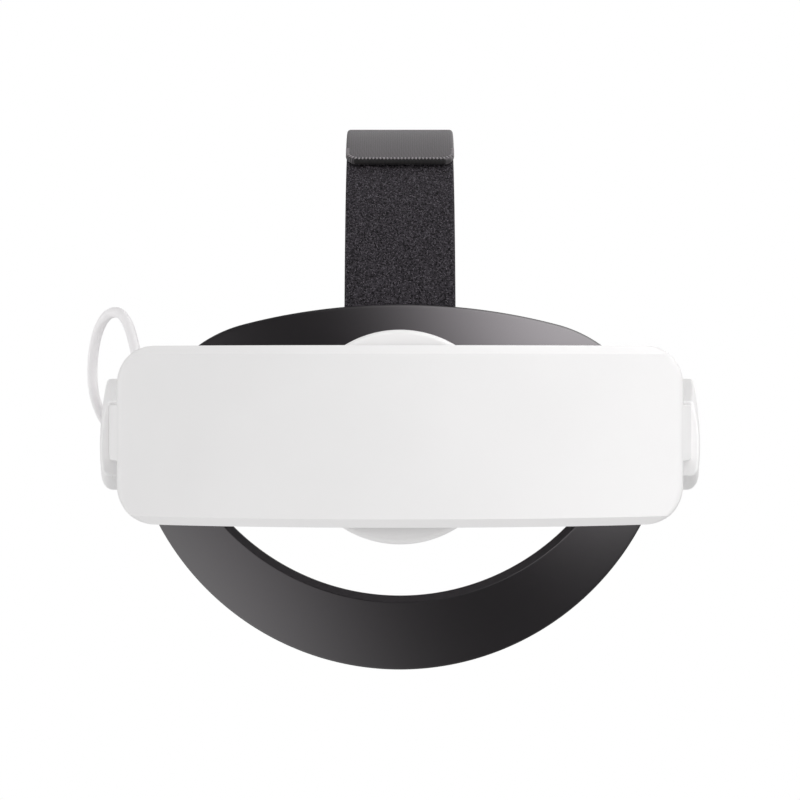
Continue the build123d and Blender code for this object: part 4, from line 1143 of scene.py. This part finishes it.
ground, faces, density = [], [], []
reach, lift = strap["width"] / 2 - pile["margin"], strap["thickness"] / 2 + pile["sink"]
for k, (y, z, ny, nz) in enumerate(strapPath[:pile["rows"]]):
    for x in spread(-reach, reach, 6):
        ground.append((x, y + ny * lift, z + nz * lift))
        density.append(1.0 if y < pile["thinFrom"] else pile["thin"])
    if k:
        faces += [(j - 7, j - 6, j + 1, j) for j in range(k * 7, k * 7 + 6)]
strapLoops = makeMesh("strapLoops", ground, faces, False)
markPoints(strapLoops, "close", density)
if strapLoops.data.polygons[200].normal.z < 0:
    strapLoops.data.flip_normals()
pileTree.run(strapLoops).data.shade_smooth()
finishPiece(strapLoops, "rear_unit", "loop_pile", material=loopFibre)
print("pile loops:", len(strapLoops.data.polygons))

crownOver, frontOver = strap["crown"] + strap["lift"], strap["front"] + strap["lift"]
flapPath = (straight(flapStart, onArc(frontCentre, frontOver, strap["leaveTurn"]), 26, -1)
            + curve(frontCentre, frontOver, strap["leaveTurn"], 0.0, 22)
            + curve(crownCentre, crownOver, 0.0, strap["tightTurn"], 40)
            + curve(crownCentre, crownOver, strap["tightTurn"], strap["endTurn"], 16)
            + [onArc(crownCentre, crownOver, strap["endTurn"])])
lengths = [0.0]
for one, two in zip(flapPath, flapPath[1:]):
    lengths.append(lengths[-1] + dist(one[:2], two[:2]))
halves, depths = [], []
for left in [lengths[-1] - long for long in lengths]:
    # the end's corners are round, and its edge thins over the last of the length
    corner, bite = strap["corner"], max(0.0, strap["corner"] - left)
    halves.append(strap["flapWidth"] / 2 - corner + sqrt(max(0.0, corner**2 - bite**2)))
    thin = max(0.0, 1 - left / strap["endRound"])
    depths.append(1.0 if thin == 0 else 0.45 + 0.55 * sqrt(1 - thin**2))
flap = strapBand("strapFlap", flapPath, halves, strap["thickness"], strap["edge"], depths)
points = flap.data.vertices
perRow = len(points) // len(flapPath)
along = [lengths[min(k // perRow, len(lengths) - 1)] for k in range(len(points))]
chart = flap.data.uv_layers.new(name="cloth")
for loop in flap.data.loops:
    k = loop.vertex_index
    chart.data[loop.index].uv = (points[k].co.x, along[k] * mm)
# marks the flap's turned end for its painted shade
markPoints(flap, "hem", [float(lengths[-1] - long < strap["hem"]) for long in along])
finishPiece(flap, "strap_flap", "strap_twill", ["strap_flap"])

# Thin core that crosses from the fold to the flap's root
core = {"fold": 6, "flap": 3, "half": 15.6, "thickness": 1.5, "edge": 0.5}
crossing = [point[:2] for point in strapPath[-core["fold"]:] + flapPath[:core["flap"]]]
corePath = []
for (y, z), one, two in zip(crossing, crossing[:1] + crossing, crossing[1:] + crossing[-1:]):
    way = Vector((two[0] - one[0], two[1] - one[1])).normalized()
    corePath.append((y, z, -way.y, way.x))
flapRoot = evenBand("flapRoot", corePath, core["half"], core["thickness"], core["edge"])
flapRoot.data.materials.append(finishes["loop_pile"])
(y0, z0), (y1, z1) = crossing[core["fold"] - 2], crossing[core["fold"]]
y0 * mm
z0 * mm
y1 * mm
z1 * mm
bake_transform(flapRoot)

# Overlocked end of the flap
stitch = {"pitch": 1.04, "long": 0.62, "wide": 0.27, "high": 0.22, "inset": 0.55, "start": 3.0,
          "sink": 0.04}
stitchTree = Tree("stitches", {"Pitch": stitch["pitch"] * mm, "Long": stitch["long"] * mm,
                               "Wide": stitch["wide"] * mm, "High": stitch["high"] * mm})
ball = stitchTree.node("GeometryNodeMeshUVSphere", None, {"Segments": 8, "Rings": 5, "Radius": 1.0})
bead = stitchTree.move(ball, Scale=stitchTree.vector("Wide", "Long", "High"))
seamLine = stitchTree.node("GeometryNodeResampleCurve", {"mode": "LENGTH"}, {
    "Curve": stitchTree.node("GeometryNodeMeshToCurve", None, {"Mesh": "Geometry"}),
    "Length": "Pitch"})
alongSeam = stitchTree.aim("X", stitchTree.node("GeometryNodeInputTangent"))
facing = stitchTree.aim("Z", stitchTree.marked("out"), alongSeam, "X")
stitchTree.end(stitchTree.copies(seamLine, bead, facing), edgeThread)

corner, half = strap["corner"] - stitch["inset"], strap["flapWidth"] / 2 - stitch["inset"]
line = [(-half, stitch["start"])]
line += [(-half + corner * (1 - cos(a)), -corner * sin(a)) for a in spread(0, pi / 2, 6)]
line += [(-x, s) for x, s in reversed(line)]
seam, outs = [], []
for x, s in line:
    # s is measured from the start of the corner towards the flap's root
    turn = strap["endTurn"] + degrees((strap["corner"] + s) / crownOver)
    radius = crownOver + strap["thickness"] / 2 - stitch["sink"]
    y, z, ny, nz = onArc(crownCentre, radius, turn)
    seam.append((x, y, z))
    outs.append((0.0, ny, nz))
flapStitches = makeMesh("flapStitches", seam, closed=False)
flapStitches.data.edges.add(len(seam) - 1)
flapStitches.data.edges.foreach_set(
    "vertices", [v for k in range(len(seam) - 1) for v in (k, k + 1)])
markPoints(flapStitches, "out", outs)
stitchTree.run(flapStitches).data.shade_smooth()
finishPiece(flapStitches, "strap_flap", "strap_twill", material=edgeThread)

# Hook tape under the flap
tape = {"outer": 77.2, "base": 76.78, "start": -28.3, "end": -7.4, "half": 14.8, "edge": 0.15,
        "pitch": 1.1, "stem": 0.34, "fibre": 0.09, "across": 26, "margin": 0.7, "sink": 0.14}
backing = [onArc(crownCentre, (tape["outer"] + tape["base"]) / 2, turn)
           for turn in spread(tape["start"], tape["end"], 24)]
hookPatch = evenBand("hookPatch", backing, tape["half"], tape["outer"] - tape["base"], tape["edge"])
finishPiece(hookPatch, "strap_flap", "hook_tape", ["hook_patch"])

hookTree = Tree("hooks", {"Stem": tape["stem"] * mm, "Fibre": tape["fibre"] * mm})
hook = hookTree.fibre(5, hookTree.maths("MULTIPLY", "Stem", 0.6), -20, 215, 4, True)
spots = hookTree.node("GeometryNodeMeshToPoints", None, {"Mesh": "Geometry"})
hookTree.end(hookTree.copies(spots, hook, hookTree.aim("Z", hookTree.marked("out"))),
             finishes["hook_tape"])
places, outs = [], []
rows = int(radians(tape["end"] - tape["start"]) * tape["base"] / tape["pitch"])
reach = tape["half"] - tape["margin"]
for k, turn in enumerate(spread(tape["start"], tape["end"], rows)[1:-1]):
    y, z, ny, nz = onArc(crownCentre, tape["base"] - tape["sink"], turn)
    for i in range(tape["across"]):
        # every other row is moved on by half a step
        share = (i + 0.5 * (k % 2)) / (tape["across"] - 0.5)
        places.append((-reach + 2 * reach * share, y, z))
        outs.append((0.0, -ny, -nz))
tapeHooks = makeMesh("tapeHooks", places, closed=False)
markPoints(tapeHooks, "out", outs)
hookTree.run(tapeHooks).data.shade_smooth()
finishPiece(tapeHooks, "strap_flap", "hook_tape")
print("straps made")

cableRoute = ((-84.2, 12, 24), (-86, 18, 30.6), (-89.5, 28, 36.8), (-93.3, 38, 38.4),
              (-97.6, 47.6, 36.6), (-101.1, 55.2, 30.4), (-103, 60, 20), (-102.4, 63.2, 8.8),
              (-97.6, 66.6, -1.2), (-89.2, 70.4, -6.8))
cable = {"diameter": 3.4, "gland": 3.2, "rings": 5, "ringPitch": 1.5, "boss": 14.0,
         "shellWidth": 8.3, "shellThickness": 2.4}
line = bpy.data.curves.new("powerCable", "CURVE")
line.dimensions = "3D"
spline = line.splines.new("NURBS")
spline.points.add(len(cableRoute) - 1)
for point, place in zip(spline.points, cableRoute):
    point.co = (*(c * mm for c in place), 1.0)
spline.order_u = 3
spline.use_endpoint_u = True
spline.resolution_u = 10
line.bevel_depth = cable["diameter"] / 2 * mm
line.bevel_resolution = 5
line.use_fill_caps = True
powerCable = finishPiece(addObject("powerCable", line), "left_arm", "cable_rubber", ["power_cable"])

# The gland's rings grow thinner towards the cable. Distances run back from its mouth.
exitPoint = Vector(cableRoute[0])
exitWay = (Vector(cableRoute[1]) - exitPoint).normalized()
gland, wire = cable["gland"], cable["diameter"] / 2
glandProfile = [(0.0, -cable["boss"] - 9.0), (gland + 0.4, -cable["boss"] - 9.0),
                (gland + 0.4, -9.2), (gland + 0.15, -9.0), (gland, -8.8)]
for k in range(cable["rings"]):
    near, radius = -8.0 + k * cable["ringPitch"], gland - 0.15 - 0.2 * k
    glandProfile += [(radius - drop, near + along) for drop, along in (
        (0.5, 0.0), (0.5, 0.35), (0.12, 0.5), (0.0, 0.65), (0.0, 1.2), (0.12, 1.35))]
glandProfile += [(wire + 0.35, -0.3), (wire + 0.1, 0.0), (0.0, 0.0)]
cableGland = lathe("cableGland", glandProfile, 48, exitPoint, exitWay)
finishPiece(evenShading(cableGland, 35), "left_arm", "cable_rubber", ["cable_gland"])

plugStart = Vector(cableRoute[-1])
plugWay = (plugStart - Vector(cableRoute[-2])).normalized()
plugSide = plugWay.cross(Vector((0, 0, 1))).normalized()
plugUp = plugWay.cross(plugSide).normalized()


def plugPiece(name, loops):
    return evenShading(tube(name, [
        [tuple(plugStart + plugWay * along + plugSide * a + plugUp * b) for a, b in loop]
        for along, loop in loops]), 35)


# distance along the plug, width, thickness and corner
plug = plugPiece("plugBody", [(along, roundedLoop(wide, tall, corner, 6))
                              for along, wide, tall, corner in (
    (0.0, 4.0, 4.0, 1.95), (0.4, 4.4, 4.4, 2.1), (1.6, 5.4, 4.7, 2.2), (3.0, 7.4, 5.3, 2.4),
    (4.25, 9.9, 6.0, 2.45), (4.8, 10.3, 6.15, 2.45), (5.4, 10.4, 6.2, 2.45),
    (12.0, 10.4, 6.2, 2.45), (16.4, 10.4, 6.2, 2.45), (16.8, 10.2, 6.0, 2.35),
    (17.0, 9.7, 5.5, 2.1))])
finishPiece(plug, "left_arm", "cable_rubber", ["plug_body"])
plugShell = plugPiece("plugShell", [
    (along, slotLoop(cable["shellWidth"] + grow, cable["shellThickness"] + grow, 8))
    for along, grow in ((17.0, 0), (23.3, 0), (23.5, -0.2), (23.5, -0.6), (17.6, -0.62))])
finishPiece(plugShell, "left_arm", "screw_steel", ["plug_shell"])
print("cable made")

screw = {"head": 2.3, "headHigh": 1.3, "shank": 1.2, "recess": 1.25, "deep": 0.8}
screwTree = Tree("screws", {
    "Head radius": screw["head"] * mm, "Head height": screw["headHigh"] * mm,
    "Shank radius": screw["shank"] * mm, "Recess radius": screw["recess"] * mm,
    "Recess depth": screw["deep"] * mm})


def cylinder(sides, radius, depth):
    return screwTree.node("GeometryNodeMeshCylinder", None, {
        "Vertices": sides, "Radius": radius, "Depth": depth})


recess = cylinder(6, "Recess radius", screwTree.maths("MULTIPLY", "Recess depth", 2.0))
top = screwTree.vector(0.0, 0.0, screwTree.maths("MULTIPLY", "Head height", 0.5))
head = screwTree.node("GeometryNodeMeshBoolean", {"operation": "DIFFERENCE", "solver": "EXACT"}, {
    "Mesh 1": cylinder(28, "Head radius", "Head height"),
    "Mesh 2": screwTree.move(recess, Translation=top)})
shaft = screwTree.move(cylinder(14, "Shank radius", 1.0), Translation=(0, 0, -0.5))
facing = screwTree.aim("Z", screwTree.marked("out"))
spots = screwTree.node("GeometryNodeMeshToPoints", None, {"Mesh": "Geometry"})
stretch = screwTree.vector(1.0, 1.0, screwTree.marked("long", "FLOAT"))
screwTree.end(screwTree.node("GeometryNodeJoinGeometry", None, {"Geometry": [
    screwTree.copies(spots, head, facing), screwTree.copies(spots, shaft, facing, stretch)]}),
    finishes["screw_steel"])


def looseParts(node):
    # Corner points of each separate solid in a frame node, always in the same order
    work = bmesh.new()
    work.from_mesh(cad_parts[node].data)
    bmesh.ops.remove_doubles(work, verts=work.verts, dist=0.000002)
    left, parts = set(work.verts), []
    while left:
        front, reached = [left.pop()], []
        while front:
            vertex = front.pop()
            reached.append(vertex.co.copy())
            near = left.intersection(edge.other_vert(vertex) for edge in vertex.link_edges)
            left -= near
            front += near
        parts.append(sorted(reached, key=tuple))
    work.free()
    return sorted(parts, key=lambda part: tuple(part[0]))


def screwSet(name, body, nodes):
    # nodes holds (frame node, way its heads face, or None for inwards along the radius)
    spots, outs, longs = [], [], []
    for node, way in nodes:
        for part in looseParts(node):
            middle = sum(part, Vector()) / len(part)
            out = Vector(way or (-middle.x, -middle.y, 0)).normalized()
            along = [point.dot(out) for point in part]
            seat = max(along) - screw["headHigh"] / 2 * mm
            spots.append(tuple((middle + out * (seat - middle.dot(out))) / mm))
            outs.append(tuple(out))
            longs.append(seat - min(along))
    piece = makeMesh(name, spots, closed=False)
    markPoints(piece, "out", outs)
    markPoints(piece, "long", longs)
    mergeDoubles(screwTree.run(piece))
    finishPiece(evenShading(piece, 35), body, "screw_steel", [node for node, _ in nodes])


screwSet("unitScrews", "rear_unit", [("cradle_screws", None), ("housing_screws", None),
                                     ("pack_screws", None), ("anchor_screws", (0, leanZ, -leanY))])
screwSet("rightArmScrews", "right_arm", [("right_arm_screws", (-1, 0, 0))])
screwSet("leftArmScrews", "left_arm", [("left_arm_screws", (1, 0, 0))])
print("screws made")

# Pieces that keep the frame's own shape
for name, node, body, slot in (
        ("housingFront", "housing_front", "rear_unit", "housing_plastic"),
        ("housingRear", "housing_rear", "rear_unit", "white_plastic"),
        ("leftRack", "left_rack", "left_rack", "gear_plastic"),
        ("rightRack", "right_rack", "right_rack", "gear_plastic"),
        ("drivePinion", "drive_pinion", "wheel", "gear_plastic"),
        ("wheelAxle", "wheel_axle", "rear_unit", "screw_steel"),
        ("frictionWasher", "friction_washer", "rear_unit", "screw_steel"),
        ("strapAnchor", "strap_anchor", "rear_unit", "housing_plastic"),
        ("chargePort", "charge_port", "rear_unit", "screw_steel"),
        ("statusLight", "status_light", "rear_unit", "light_lens"),
        ("chargeBoard", "charge_board", "rear_unit", "board_laminate"),
        ("leftCell", "battery_cell_left", "rear_unit", "cell_foil"),
        ("rightCell", "battery_cell_right", "rear_unit", "cell_foil")):
    smoothCopy(name, node, body, slot)
print("kept shapes made")
